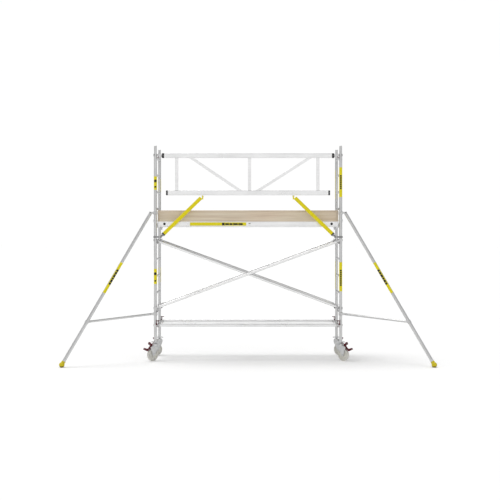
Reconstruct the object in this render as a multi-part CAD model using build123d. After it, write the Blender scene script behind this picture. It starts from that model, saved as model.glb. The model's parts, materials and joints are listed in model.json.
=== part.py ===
from build123d import *
import math
import os

# Mobile aluminium scaffold tower: two end frames in two lifts on castors, braces front and rear,
# a platform with a hatch and toe boards, one guardrail frame and two stabilisers at the front.
# Millimetres. X runs along the tower, Y from front to rear, Z up. The origin is on the floor in
# the middle of the footprint.

# ---------------------------------------------------------------- driving dimensions
LENGTH = 3050.0            # between the upright axes along X
DEPTH = 750.0              # between the upright axes along Y
TUBE_R = 25.4              # upright, outside
TUBE_WALL = 2.0
RUNG_R = 17.0
RUNG_WALL = 2.0
RUNG_PITCH = 280.0
FIRST_RUNG_Z = 546.0
LEG_BOTTOM_Z = 322.0       # lower end of the lower frames
LOWER_RUNGS = 7
UPPER_RUNGS = 4
RUNG_TO_TOP = 54.0         # last rung of a frame to its upper end
SPIGOT_UP = 135.0          # spigot above the end of its upright
SPIGOT_DOWN = 140.0        # spigot inside that upright
SPIGOT_R = 22.3

WHEEL_R = 100.0
WHEEL_WIDTH = 44.0
TRAIL = 55.0               # swivel axis to axle
CASTOR_TURN = 40.0         # degrees that each castor points forward of straight outboard
CROWN_R = 52.0
SPINDLE_R = 18.0
SPINDLE_TOP_Z = 620.0
NUT_Z = 297.0

BRACE_R = 22.5             # diagonal braces
LEDGER_R = 25.4            # horizontal braces
JAW_R = 33.4               # claw jaw, outside
JAW_BORE = 25.7
JAW_HEIGHT = 34.0
CLAW_LIFT = RUNG_R + 3.0 + JAW_HEIGHT / 2   # claw centre above the rung below it
BRACE_SHIFT = 24.0         # crossing diagonals stand this far to each side of the uprights

STAB_OUT_X = 1380.0        # foot, outboard of its upright
STAB_OUT_Y = 840.0         # foot, in front of its upright
STAB_R = 25.0
STAB_TOP_Z = 2430.0
STAB_LOW_Z = 770.0
FOOT_R = 43.0
FOOT_FLAT = 3.0            # depth of the flat cut off the bottom of the ball foot

PLATFORM_RUNG = 6          # counted from 0 at the bottom
PLATFORM_WIDTH = 640.0
DECK_TOP_Z = 2290.0
BEAM_HEIGHT = 88.0
BEAM_THICK = 32.0
BOARD_HEIGHT = 183.0
BOARD_THICK = 18.0

RAIL_TOP_Z = 3372.0
RAIL_LOW_Z = 2760.0
RAIL_HEIGHT = 75.0
RAIL_DEPTH = 30.0
STRUT_R = 30.0

# ---------------------------------------------------------------- derived places
HALF = LENGTH / 2
FOOTPRINT = STAB_OUT_Y + FOOT_R + DEPTH + CROWN_R
Y_FRONT = -FOOTPRINT / 2 + STAB_OUT_Y + FOOT_R
Y_REAR = Y_FRONT + DEPTH
Y_MID = (Y_FRONT + Y_REAR) / 2
SPLICE_Z = FIRST_RUNG_Z + RUNG_PITCH * (LOWER_RUNGS - 1) + RUNG_TO_TOP
TOP_Z = SPLICE_Z + RUNG_PITCH * UPPER_RUNGS
ENDS = {"left": -1, "right": 1}
SIDES = {"front": Y_FRONT, "rear": Y_REAR}


def rung_z(number):
    return FIRST_RUNG_Z + RUNG_PITCH * number


LEDGER_Z = rung_z(0) + CLAW_LIFT
BRACE_LOW_Z = rung_z(1) + CLAW_LIFT
BRACE_TOP_Z = rung_z(5) + CLAW_LIFT
RAIL_CLAW_Z = TOP_Z - JAW_HEIGHT / 2
LOW_CLEAR = (Align.CENTER, Align.CENTER, Align.MIN)

# ---------------------------------------------------------------- small helpers


def rod(start, end, radius):
    """A round bar from start to end."""
    a, b = Vector(*start), Vector(*end)
    place = Plane(origin=a, z_dir=(b - a).normalized()).location
    return place * Cylinder(radius, (b - a).length, align=LOW_CLEAR)


def tube(start, end, radius, wall):
    """A round tube from start to end."""
    a, b = Vector(*start), Vector(*end)
    reach = (b - a).normalized() * 1.0
    return rod(start, end, radius) - rod(tuple(a - reach), tuple(b + reach), radius - wall)


def block(centre, size, rounding=0.0):
    """A box by its centre and size, with its long edges rounded."""
    body = Box(*size)
    if rounding:
        long_axis = (Axis.X, Axis.Y, Axis.Z)[max(range(3), key=lambda i: size[i])]
        body = fillet(body.edges().filter_by(long_axis), rounding)
    return Pos(*centre) * body


def bar(start, end, width, depth, rounding=0.0):
    """A rectangular bar in an XZ plane: width lies in that plane, depth lies along Y."""
    a, b = Vector(*start), Vector(*end)
    run = (b - a).normalized()
    place = Plane(origin=a, x_dir=(0, 1, 0), z_dir=run).location
    body = Box(depth, width, (b - a).length, align=LOW_CLEAR)
    if rounding:
        body = fillet(body.edges().filter_by(Axis.Z), rounding)
    return place * body


def hollow_bar(start, end, width, depth, wall, rounding=4.0):
    """A rectangular tube in an XZ plane."""
    a, b = Vector(*start), Vector(*end)
    reach = (b - a).normalized() * 1.0
    inner = bar(tuple(a - reach), tuple(b + reach), width - 2 * wall, depth - 2 * wall)
    return bar(start, end, width, depth, rounding) - inner


def flip_x(shape):
    return mirror(shape, about=Plane.YZ)


def flip_y(shape):
    """Mirror from the front plane of the tower to its rear plane."""
    return mirror(shape, about=Plane(origin=(0, Y_MID, 0), z_dir=(0, 1, 0)))


def both_ends(shapes):
    """The left-hand shapes and their right-hand mirror images."""
    return list(shapes) + [flip_x(shape) for shape in shapes]


def upright_line(x, y, z0, z1, radius):
    return rod((x, y, z0), (x, y, z1), radius)


# ---------------------------------------------------------------- end frames


def end_frame(x, z0, z1, rungs):
    """Two uprights and the rungs welded between them, each rung coped to the uprights."""
    solids = [tube((x, y, z0), (x, y, z1), TUBE_R, TUBE_WALL) for y in SIDES.values()]
    for z in rungs:
        rung = tube((x, Y_FRONT, z), (x, Y_REAR, z), RUNG_R, RUNG_WALL)
        for y in SIDES.values():
            rung -= upright_line(x, y, z - 2 * RUNG_R, z + 2 * RUNG_R, TUBE_R + 0.02)
        solids.append(rung.solids().sort_by(SortBy.VOLUME)[-1])
    return solids


def lower_frame(sign):
    return end_frame(sign * HALF, LEG_BOTTOM_Z, SPLICE_Z, [rung_z(i) for i in range(LOWER_RUNGS)])


def upper_frame(sign):
    rungs = [rung_z(LOWER_RUNGS + i) for i in range(UPPER_RUNGS)]
    return end_frame(sign * HALF, SPLICE_Z, TOP_Z, rungs)


def spigot(x, y, z):
    """A swaged sleeve: pressed into the upright below z, free to take the next upright above."""
    pressed_r = TUBE_R - TUBE_WALL - 0.02
    sleeve = upright_line(x, y, z - SPIGOT_DOWN, z, pressed_r) + upright_line(
        x, y, z, z + SPIGOT_UP, SPIGOT_R
    )
    sleeve = chamfer(sleeve.edges().sort_by(Axis.Z)[-1], 3.0)
    return sleeve - upright_line(x, y, z - SPIGOT_DOWN - 1, z + SPIGOT_UP + 1, SPIGOT_R - 2.5)


def spigots(z):
    return [spigot(sign * HALF, y, z) for sign in ENDS.values() for y in SIDES.values()]


def splice_clip(x, y):
    """A spring clip round the upright just above the splice, its finger facing outboard."""
    z = SPLICE_Z + 34.0
    sign = 1 if x > 0 else -1
    ring = Pos(x, y, z) * (Cylinder(TUBE_R + 3.0, 14.0) - Cylinder(TUBE_R + 0.05, 16.0))
    finger = block((x + sign * (TUBE_R + 9.0), y, z - 16.0), (4.0, 14.0, 46.0), 1.5)
    bridge = block((x + sign * (TUBE_R + 5.0), y, z), (9.0, 14.0, 10.0))
    bridge -= upright_line(x, y, z - 10.0, z + 10.0, TUBE_R + 0.05)
    return ring + finger + bridge


def splice_clips():
    return [splice_clip(sign * HALF, y) for sign in ENDS.values() for y in SIDES.values()]


# ---------------------------------------------------------------- castors and adjustable legs
# A castor is drawn with its swivel axis on Z and its wheel trailing along +X, then placed.
LEG_PLATE = 4.0
LEG_GAP = WHEEL_WIDTH + 10.0
CROWN_Z = 246.0
CROWN_HEIGHT = 18.0
HEAD_Z = CROWN_Z + CROWN_HEIGHT + 0.6
PEDAL_PIVOT = (98.0, 222.0)
SHOE_REACH = 26.0          # brake shoe, from the pedal's pivot towards the wheel
AXLE_R = 6.0


def place_castor(shape, sign, y):
    """Turn a castor piece to its trailing direction and put it under its upright."""
    angle = 180.0 + CASTOR_TURN if sign < 0 else -CASTOR_TURN
    return Pos(sign * HALF, y, 0) * Rot(0, 0, angle) * shape


def castor_spindle():
    """Adjusting spindle, its swivel head and the retaining king pin below it."""
    stem = upright_line(0, 0, HEAD_Z, SPINDLE_TOP_Z, SPINDLE_R)
    head = Pos(0, 0, HEAD_Z) * Cylinder(44.0, 16.0, align=LOW_CLEAR)
    head = fillet(head.edges().sort_by(Axis.Z)[-1], 7.0)
    pin = upright_line(0, 0, CROWN_Z - 12.0, HEAD_Z + 1.0, 9.0)
    return head + stem + pin


def castor_nut():
    """Wing nut that carries the upright: a collar under the tube and two wings."""
    collar = Pos(0, 0, NUT_Z) * Cylinder(32.0, LEG_BOTTOM_Z - NUT_Z, align=LOW_CLEAR)
    collar = fillet(collar.edges().sort_by(Axis.Z)[0], 4.0)
    wings = Pos(0, 0, NUT_Z + 10.0) * Box(132.0, 16.0, 14.0)
    wings = fillet(wings.edges().filter_by(Axis.Z), 7.0)
    return collar + wings - upright_line(0, 0, NUT_Z - 5.0, LEG_BOTTOM_Z + 5.0, SPINDLE_R + 0.06)


def castor_leg(side):
    """One pressed fork leg from the crown down to the axle boss."""
    outline = make_face(
        Polyline(
            (-46.0, CROWN_Z), (66.0, CROWN_Z), (112.0, 232.0), (112.0, 206.0), (88.0, 150.0),
            (TRAIL + 22.0, WHEEL_R), (TRAIL + 9.0, WHEEL_R - 19.0), (TRAIL - 12.0, WHEEL_R - 17.0),
            (TRAIL - 22.0, WHEEL_R + 4.0), (-30.0, 200.0), (-46.0, CROWN_Z),
        )
    )
    plate = extrude(Plane.XZ * outline, LEG_PLATE / 2, both=True)
    plate = Pos(0, side * (LEG_GAP + LEG_PLATE) / 2, 0) * plate
    inside = LEG_GAP / 2
    boss = rod((TRAIL, side * (inside - 4.4), WHEEL_R), (TRAIL, side * inside, WHEEL_R), 11.0)
    return plate + boss


def castor_fork():
    """Fork crown, two legs and the pivot pin of the brake pedal, with the axle bolt as its own solid."""
    crown = Pos(0, 0, CROWN_Z) * Cylinder(CROWN_R, CROWN_HEIGHT, align=LOW_CLEAR)
    crown = fillet(crown.edges().sort_by(Axis.Z)[-1], 6.0)
    bridge = block((15.0, 0, CROWN_Z + 3.0), (110.0, LEG_GAP + 2 * LEG_PLATE, 6.0))
    body = crown + bridge + castor_leg(1) + castor_leg(-1)
    half = LEG_GAP / 2 + LEG_PLATE
    pivot_x, pivot_z = PEDAL_PIVOT
    body += rod((pivot_x, -half, pivot_z), (pivot_x, half, pivot_z), 5.0)
    body -= upright_line(0, 0, CROWN_Z - 20.0, CROWN_Z + CROWN_HEIGHT + 5.0, 9.08)
    body -= rod((TRAIL, -half - 1, WHEEL_R), (TRAIL, half + 1, WHEEL_R), AXLE_R + 0.02)
    axle = rod((TRAIL, -half - 9.0, WHEEL_R), (TRAIL, half + 9.0, WHEEL_R), AXLE_R)
    for side in (1, -1):
        place = Pos(TRAIL, side * (half + 3.6), WHEEL_R) * Rot(90, 0, 0)
        axle += place * extrude(RegularPolygon(11.0, 6), 3.5, both=True)
    return [body, axle]


def castor_wheel():
    """One-piece wheel: tread with rounded shoulders, thin web and a long hub."""
    rim, half = WHEEL_R, WHEEL_WIDTH / 2
    tread = Cylinder(rim, WHEEL_WIDTH)
    tread = fillet(tread.edges(), 9.0)
    for side in (1, -1):
        recess = Pos(0, 0, side * (half + 2.0)) * (Cylinder(rim - 20.0, 22.0) - Cylinder(27.0, 24.0))
        tread -= recess
    hub = Cylinder(25.0, WHEEL_WIDTH + 1.0)
    bore = Cylinder(AXLE_R + 0.06, WHEEL_WIDTH + 10.0)
    return Pos(TRAIL, 0, WHEEL_R) * Rot(90, 0, 0) * (tread + hub - bore)


def castor_pedal():
    """Rocker with a broad wedge to press the brake on and an upright tongue to lift it off."""
    width = LEG_GAP - 2.0
    pivot_x, pivot_z = PEDAL_PIVOT
    pivot = (pivot_x, 0, pivot_z)
    hub = rod((pivot_x, -width / 2, pivot_z), (pivot_x, width / 2, pivot_z), 12.0)
    tread_start = (pivot_x + 58.0, 0, pivot_z - 44.0)
    tread_end = (pivot_x + 117.0, 0, pivot_z - 14.0)
    tread = bar(tread_start, tread_end, 28.0, width + 14.0, 8.0)
    tread_arm = bar(pivot, (pivot_x + 68.0, 0, pivot_z - 38.0), 14.0, width - 4.0, 3.0)
    tongue_start = (pivot_x - 18.0, 0, pivot_z + 30.0)
    tongue_end = (pivot_x + 24.0, 0, pivot_z + 84.0)
    tongue = bar(tongue_start, tongue_end, 20.0, 46.0, 6.0)
    tongue_arm = bar(pivot, (pivot_x - 6.0, 0, pivot_z + 42.0), 14.0, 40.0, 3.0)
    down = Vector(TRAIL - pivot_x, 0, WHEEL_R - pivot_z).normalized() * SHOE_REACH
    shoe = bar(pivot, (pivot_x + down.X, 0, pivot_z + down.Z), 10.0, 30.0)
    body = hub + tread_arm + tread + tongue_arm + tongue + shoe
    return body - rod((pivot_x, -width, pivot_z), (pivot_x, width, pivot_z), 5.1)


# ---------------------------------------------------------------- braces


TRIGGER_X = 44.0           # trigger stem, inboard of the upright's axis
TRIGGER_R = 4.5


def trigger_bore(shift):
    return Pos(TRIGGER_X, shift, 0) * Cylinder(TRIGGER_R + 0.08, 80.0)


def jaw(mouth):
    """C-shaped jaw round an upright on Z, open towards mouth * Y."""
    ring = Cylinder(JAW_R, JAW_HEIGHT) - Cylinder(JAW_BORE, JAW_HEIGHT + 2)
    opening = Pos(0, mouth * JAW_R, 0) * Box(42.0, 2 * JAW_R - 6.0, JAW_HEIGHT + 2)
    return ring - opening


def claw(run, shift, mouth, plug_r, collar_r):
    """Cast claw on an upright at the origin: jaw, arm and a plug along run for the brace tube.

    run is the unit direction of the brace from this upright, shift its offset in Y.
    """
    line = Vector(*run)
    start = Vector(0, shift, 0)
    arm = bar((18.0, shift, -0.2), tuple(start + line * 62.0), JAW_HEIGHT - 4.0, 24.0, 4.0)
    collar = rod(tuple(start + line * 60.0), tuple(start + line * 80.0), collar_r)
    plug = rod(tuple(start + line * 79.0), tuple(start + line * 125.0), plug_r)
    body = jaw(mouth) + arm + collar + plug
    body -= Cylinder(JAW_BORE, JAW_HEIGHT + 30)
    return body - trigger_bore(shift)


def brace_run(z0, z1):
    """Unit direction of a brace from the left upright at z0 to the right upright at z1."""
    return Vector(LENGTH, 0, z1 - z0).normalized()


def brace_tube(z0, z1, y, radius):
    run = brace_run(z0, z1)
    start = Vector(-HALF, y, z0) + run * 80.0
    end = Vector(HALF, y, z1) - run * 80.0
    return tube(tuple(start), tuple(end), radius, 2.0)


def claw_pair(z0, z1, shift, mouth, radius):
    """The two claws of one brace in the front plane."""
    run = brace_run(z0, z1)
    left = claw(tuple(run), shift, mouth, radius - 2.05, radius)
    right = claw((run.X, 0, -run.Z), shift, mouth, radius - 2.05, radius)
    return [Pos(-HALF, Y_FRONT, z0) * left, Pos(HALF, Y_FRONT, z1) * flip_x(right)]


def front_diagonals():
    """The rising brace stands in front of the uprights and the falling one behind them."""
    rising = brace_tube(BRACE_LOW_Z, BRACE_TOP_Z, Y_FRONT - BRACE_SHIFT, BRACE_R)
    falling = brace_tube(BRACE_TOP_Z, BRACE_LOW_Z, Y_FRONT + BRACE_SHIFT, BRACE_R)
    return [rising, falling]


def front_claws():
    claws = claw_pair(BRACE_LOW_Z, BRACE_TOP_Z, -BRACE_SHIFT, 1, BRACE_R)
    claws += claw_pair(BRACE_TOP_Z, BRACE_LOW_Z, BRACE_SHIFT, -1, BRACE_R)
    claws += claw_pair(LEDGER_Z, LEDGER_Z, 0.0, 1, LEDGER_R)
    return claws


def guardrail_claw():
    """Claw of the guardrail frame: its jaw is open to the front and its plug enters the top rail."""
    drop = RAIL_TOP_Z - RAIL_CLAW_Z
    arm = bar((18.0, 0, 0), (60.0, 0, drop / 2), JAW_HEIGHT - 4.0, 24.0, 4.0)
    neck = block((110.0, 0, drop), (110.0, RAIL_DEPTH - 4.1, 46.0), 4.0)
    body = jaw(-1) + arm + neck - Cylinder(JAW_BORE, JAW_HEIGHT + 30)
    return Pos(-HALF, Y_FRONT, RAIL_CLAW_Z) * (body - trigger_bore(0.0))


def front_and_rear(shapes):
    return list(shapes) + [flip_y(shape) for shape in shapes]


def diagonal_trigger(z, end, shift):
    """Round push button under a diagonal's claw."""
    stem_low, stem_top = -50.0, JAW_HEIGHT / 2 + 6.0
    stem = Pos(TRIGGER_X, shift, 0) * upright_line(0, 0, stem_low + 4.0, stem_top, TRIGGER_R)
    button = Pos(TRIGGER_X - 10.0, shift, stem_low) * Cylinder(11.0, 16.0)
    button = fillet(button.edges(), 3.0)
    return place_trigger(stem + button, z, end)


def ledger_trigger(z, end):
    """Finger lever above a horizontal brace's claw, with a strap down to a square thumb pad."""
    lever_z = 76.0
    front = -(JAW_R + 6.0)
    stem = Pos(TRIGGER_X, 0, 0) * upright_line(0, 0, -30.0, lever_z, TRIGGER_R)
    lever = block((TRIGGER_X + 2.0, front + 2.0, lever_z), (58.0, 14.0, 10.0), 3.0)
    bridge = block((TRIGGER_X, front / 2, lever_z), (14.0, -front, 10.0))
    strap = block((25.0, front - 0.2, lever_z - 30.0), (12.0, 7.0, 60.0))
    pad = block((25.0, front - 1.5, 17.0), (24.0, 10.0, 24.0), 2.0)
    knob = Pos(TRIGGER_X, 0, -30.0) * Cylinder(9.0, 10.0)
    return place_trigger(stem + lever + bridge + strap + pad + knob, z, end)


def place_trigger(shape, z, end):
    shape = flip_x(shape) if end > 0 else shape
    return Pos(end * HALF, Y_FRONT, z) * shape


def front_diagonal_triggers():
    return [
        diagonal_trigger(BRACE_LOW_Z, -1, -BRACE_SHIFT),
        diagonal_trigger(BRACE_TOP_Z, 1, -BRACE_SHIFT),
        diagonal_trigger(BRACE_TOP_Z, -1, BRACE_SHIFT),
        diagonal_trigger(BRACE_LOW_Z, 1, BRACE_SHIFT),
    ]


def front_ledger_triggers():
    return [ledger_trigger(LEDGER_Z, sign) for sign in ENDS.values()]


# ---------------------------------------------------------------- platform
BEAM_END = HALF - 34.0
BEAM_Y = PLATFORM_WIDTH / 2 - BEAM_THICK / 2
BEAM_LOW_Z = DECK_TOP_Z - BEAM_HEIGHT
DECK_THICK = 12.0
DECK_LOW_Z = DECK_TOP_Z - DECK_THICK
LEDGE_DROP = 1.0
DECK_HALF_WIDTH = PLATFORM_WIDTH / 2 - BEAM_THICK
CROSS_HEIGHT = 45.0
HATCH_X = (-1250.0, -630.0)
HATCH_HALF = 250.0
HOOK_R = RUNG_R + 0.3
PLUG_X = BEAM_END - 110.0
BEAM_WALL = 3.0


def beam(y, side):
    """Side beam: a hollow extrusion with a lower lip that stands out on its outer face."""
    z = (BEAM_LOW_Z + DECK_TOP_Z) / 2
    outer = block((0, y, z), (2 * BEAM_END, BEAM_THICK, BEAM_HEIGHT), 3.0)
    hollow = (2 * BEAM_END + 2, BEAM_THICK - 2 * BEAM_WALL, BEAM_HEIGHT - 2 * BEAM_WALL)
    inner = block((0, y, z), hollow)
    lip_y = y + side * (BEAM_THICK / 2 + 1.5)
    lip = block((0, lip_y, BEAM_LOW_Z + 8.0), (2 * BEAM_END, 5.0, 12.0), 1.5)
    return outer + lip - inner


def cross_bar(x):
    """Hollow bar between the side beams, under the deck."""
    z = DECK_LOW_Z - CROSS_HEIGHT / 2
    outer = block((x, Y_MID, z), (30.0, 2 * DECK_HALF_WIDTH, CROSS_HEIGHT), 2.0)
    return outer - block((x, Y_MID, z), (25.0, 2 * DECK_HALF_WIDTH + 2, CROSS_HEIGHT - 5.0))


def platform_frame():
    beams = [beam(Y_MID + side * BEAM_Y, side) for side in (-1, 1)]
    inner = (HATCH_X[0] - 5.0, HATCH_X[1] + 5.0, -160.0, 350.0, 860.0)
    ends = (-BEAM_END + 16.0, BEAM_END - 16.0)
    return beams + [cross_bar(x) for x in inner + ends]


def platform_deck():
    """Plywood deck with the hatch opening."""
    middle_z = DECK_TOP_Z - DECK_THICK / 2
    deck = block((0, Y_MID, middle_z), (2 * BEAM_END, 2 * DECK_HALF_WIDTH - 0.4, DECK_THICK))
    hatch_middle = (HATCH_X[0] + HATCH_X[1]) / 2
    hole = Box(HATCH_X[1] - HATCH_X[0], 2 * HATCH_HALF, DECK_THICK + 2)
    return deck - Pos(hatch_middle, Y_MID, middle_z) * hole


HINGE_Y = Y_MID + HATCH_HALF - 6.0
HINGE_Z = DECK_TOP_Z + 6.0
HINGE_XS = (HATCH_X[0] + 110.0, HATCH_X[1] - 110.0)
LATCH_AT = (HATCH_X[0] + 310.0, Y_MID - HATCH_HALF + 70.0)


def platform_hatch():
    """Plywood hatch with its moving hinge leaves and a recess for the latch."""
    middle = ((HATCH_X[0] + HATCH_X[1]) / 2, Y_MID - 8.0, DECK_TOP_Z - DECK_THICK / 2)
    panel = block(middle, (HATCH_X[1] - HATCH_X[0] - 8.0, 2 * HATCH_HALF - 24.0, DECK_THICK))
    panel -= Pos(LATCH_AT[0], LATCH_AT[1], middle[2]) * Cylinder(8.2, DECK_THICK + 2)
    for x in HINGE_XS:
        leaf = block((x, HINGE_Y - 24.0, DECK_TOP_Z + 1.5), (56.0, 36.0, 3.0))
        knuckle = rod((x - 12.0, HINGE_Y, HINGE_Z), (x + 12.0, HINGE_Y, HINGE_Z), 5.5)
        arm = block((x, HINGE_Y - 6.0, DECK_TOP_Z + 3.0), (24.0, 12.0, 6.0))
        bore = rod((x - 20.0, HINGE_Y, HINGE_Z), (x + 20.0, HINGE_Y, HINGE_Z), 3.06)
        panel += leaf + arm + knuckle - bore
        panel -= bore
    return panel


def hatch_hinges():
    """Fixed hinge leaves on the deck, each with its pin through the hatch's knuckle."""
    hinges = []
    for x in HINGE_XS:
        leaf = block((x, HINGE_Y + 23.0, DECK_TOP_Z + 1.5), (56.0, 26.0, 3.0))
        pin = rod((x - 27.0, HINGE_Y, HINGE_Z), (x + 27.0, HINGE_Y, HINGE_Z), 3.0)
        body = leaf + pin
        for side in (-1, 1):
            centre = x + side * 20.0
            body += rod((centre - 7.0, HINGE_Y, HINGE_Z), (centre + 7.0, HINGE_Y, HINGE_Z), 5.5)
            body += block((centre, HINGE_Y + 7.0, DECK_TOP_Z + 3.0), (14.0, 14.0, 6.0))
        hinges.append(body)
    return hinges


def hatch_latch():
    """Turn latch, drawn open: turned a quarter, its tongue reaches under the deck's edge."""
    x, y = LATCH_AT
    stem = upright_line(x, y, DECK_LOW_Z - 8.0, DECK_TOP_Z + 4.0, 8.0)
    knob = block((x, y, DECK_TOP_Z + 6.0), (60.0, 18.0, 11.0), 3.0)
    tongue = block((x + 34.0, y, DECK_LOW_Z - 5.4), (92.0, 22.0, 8.0), 2.0)
    return stem + knob + tongue


def platform_hook(y):
    """Cast hook at one corner: it takes the rung from above and bolts to the end of the beam."""
    z = rung_z(PLATFORM_RUNG)
    hook = Pos(-HALF, y, z) * Rot(90, 0, 0) * Cylinder(RUNG_R + 9.0, BEAM_THICK - 4.0)
    plate = block((-BEAM_END - 12.5, y, z + 4.0), (25.0, BEAM_THICK - 4.0, 60.0), 3.0)
    socket = block((-BEAM_END + 24.0, y, z + 20.0), (52.0, BEAM_THICK - 6.4, 40.0))
    body = hook + plate
    slot = Pos(-HALF, y, z - 40.0) * Box(2 * HOOK_R, BEAM_THICK, 80.0)
    body -= slot
    body += socket - block((-BEAM_END - 20.0, y, z + 20.0), (40.0, BEAM_THICK, 60.0))
    return body - Pos(-HALF, y, z) * Rot(90, 0, 0) * Cylinder(HOOK_R, BEAM_THICK + 4)


def platform_hooks():
    return both_ends([platform_hook(Y_MID + side * BEAM_Y) for side in (-1, 1)])


LOCK_PIVOT = (-HALF + 52.0, rung_z(PLATFORM_RUNG) - 40.0)
EAR_TOP_Z = DECK_LOW_Z - CROSS_HEIGHT


def lock_ears():
    """Ears under the end bar that carry the wind lock's shaft."""
    x, z = LOCK_PIVOT
    ears = []
    for side in (-1, 1):
        y = Y_MID + side * (DECK_HALF_WIDTH - 40.0)
        ear = block((x, y, (z - 10.0 + EAR_TOP_Z) / 2), (26.0, 6.0, EAR_TOP_Z - z + 10.0))
        ears.append(ear - rod((x, y - 5.0, z), (x, y + 5.0, z), 6.06))
    return ears


def platform_lock():
    """Wind lock: a shaft across the platform's end with two fingers under the rung."""
    x, z = LOCK_PIVOT
    reach = DECK_HALF_WIDTH - 22.0
    shaft = rod((x, Y_MID - reach, z), (x, Y_MID + reach, z), 6.0)
    for side in (-1, 1):
        y = Y_MID + side * (DECK_HALF_WIDTH - 60.0)
        finger = bar((x, y, z), (-HALF - 4.0, y, z + 14.0), 9.0, 12.0, 2.0)
        shaft += finger
    handle = bar((x, Y_MID, z), (x + 26.0, Y_MID, z - 34.0), 10.0, 70.0, 2.5)
    return shaft + handle


def beam_plugs():
    """Round rubber plugs in the outer faces of the side beams near their ends."""
    plugs = []
    for side in (-1, 1):
        y = Y_MID + side * PLATFORM_WIDTH / 2
        z = (BEAM_LOW_Z + DECK_TOP_Z) / 2 + 4.0
        for x in (-PLUG_X, PLUG_X):
            plugs.append(fillet(rod((x, y, z), (x, y + side * 5.0, z), 16.5).edges(), 1.5))
    return plugs


def toe_boards_long():
    """Front and rear toe boards, standing on the side beams."""
    length = 2 * BEAM_END - 6.0
    z = DECK_TOP_Z + BOARD_HEIGHT / 2
    middle = PLATFORM_WIDTH / 2 - BOARD_THICK / 2
    board = (length, BOARD_THICK, BOARD_HEIGHT)
    return [block((0, Y_MID + side * middle, z), board, 1.5) for side in (-1, 1)]


def toe_boards_end():
    """End toe boards between the long ones."""
    width = PLATFORM_WIDTH - 2 * BOARD_THICK - 1.0
    z = DECK_TOP_Z + BOARD_HEIGHT / 2
    x = BEAM_END - 26.0
    return [block((side * x, Y_MID, z), (BOARD_THICK, width, BOARD_HEIGHT), 1.5) for side in (-1, 1)]


def corner_bracket():
    """Folded corner bracket over the ends of two toe boards, at the left front corner."""
    x = -BEAM_END + 3.0
    y = Y_MID - PLATFORM_WIDTH / 2
    z = DECK_TOP_Z + BOARD_HEIGHT / 2 + 2.0
    height = BOARD_HEIGHT - 10.0
    face = block((x + 14.0, y - 1.6, z), (34.0, 3.0, height))
    side = block((x - 1.6, y + 24.0, z), (3.0, 54.2, height))
    return face + side


def toe_board_brackets():
    left = [corner_bracket(), flip_y(corner_bracket())]
    return both_ends(left)


# ---------------------------------------------------------------- guardrail frame
RAIL_HALF = 1330.0
POSTS_X = (-1175.0, 24.0, 1149.0)
POST_WIDTH = 52.0
TIES = (((-990.0, RAIL_TOP_Z), (-80.0, RAIL_LOW_Z)), ((106.0, RAIL_LOW_Z), (1070.0, RAIL_TOP_Z)))
TIE_WIDTH = 45.0


def guardrail_frame():
    """Two rails, three posts and two ties, all rectangular tube in the front plane."""
    rails = []
    for z, reach in ((RAIL_TOP_Z, RAIL_HALF + 50.0), (RAIL_LOW_Z, RAIL_HALF - 10.0)):
        ends = ((-reach, Y_FRONT, z), (reach, Y_FRONT, z))
        rails.append(hollow_bar(*ends, RAIL_HEIGHT, RAIL_DEPTH, 2.0, 8.0))
    low, high = RAIL_LOW_Z + RAIL_HEIGHT / 2, RAIL_TOP_Z - RAIL_HEIGHT / 2
    between = Pos(0, Y_FRONT, (low + high) / 2) * Box(LENGTH, 100.0, high - low - 0.1)
    posts = []
    for x in POSTS_X:
        posts.append(hollow_bar((x, Y_FRONT, low), (x, Y_FRONT, high), POST_WIDTH, 26.0, 2.0))
    ties = []
    for (x0, z0), (x1, z1) in TIES:
        ties.append(bar((x0, Y_FRONT, z0), (x1, Y_FRONT, z1), TIE_WIDTH, 20.0, 3.0) & between)
    return rails + posts + ties


def guardrail_sleeves():
    """Black sleeves between the top rail and its claws, and caps on the lower rail."""
    sleeve_size = (38.0, RAIL_DEPTH + 8.0, RAIL_HEIGHT + 2.0)
    sleeve = block((-RAIL_HALF - 69.0, Y_FRONT, RAIL_TOP_Z), sleeve_size, 6.0)
    neck_room = block((-HALF + 126.0, Y_FRONT, RAIL_TOP_Z), (100.0, RAIL_DEPTH - 4.0, 46.1))
    cap_size = (30.0, RAIL_DEPTH + 4.0, RAIL_HEIGHT + 3.0)
    cap = block((-RAIL_HALF - 5.0, Y_FRONT, RAIL_LOW_Z), cap_size, 6.0)
    return both_ends([sleeve - neck_room, cap])


def guardrail_trigger():
    """Release lever under the guardrail claw."""
    stem = Pos(TRIGGER_X, 0, 0) * upright_line(0, 0, -40.0, JAW_HEIGHT / 2 + 4.0, TRIGGER_R)
    lever = block((TRIGGER_X - 3.0, 0, -42.0), (26.0, 18.0, 8.0), 2.0)
    return Pos(-HALF, Y_FRONT, RAIL_CLAW_Z) * (stem + lever)


STRUT_Y = Y_FRONT - 27.0   # the struts swing forward on pins along X
STRUT_PIVOT = (-745.0, RAIL_LOW_Z - RAIL_HEIGHT / 2 - 18.0)
STRUT_ELBOW = (-1430.0, 2041.0)
STRUT_LENGTH = math.dist(STRUT_PIVOT, STRUT_ELBOW)
SADDLE_Z = 2034.0
EYE_HALF = 10.0            # half the length of the strut's eye along its pin
EAR_THICK = 6.0


def strut_point(distance):
    """A point on the left strut's axis, measured from its pivot."""
    share = distance / STRUT_LENGTH
    x = STRUT_PIVOT[0] + (STRUT_ELBOW[0] - STRUT_PIVOT[0]) * share
    z = STRUT_PIVOT[1] + (STRUT_ELBOW[1] - STRUT_PIVOT[1]) * share
    return (x, STRUT_Y, z)


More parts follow.
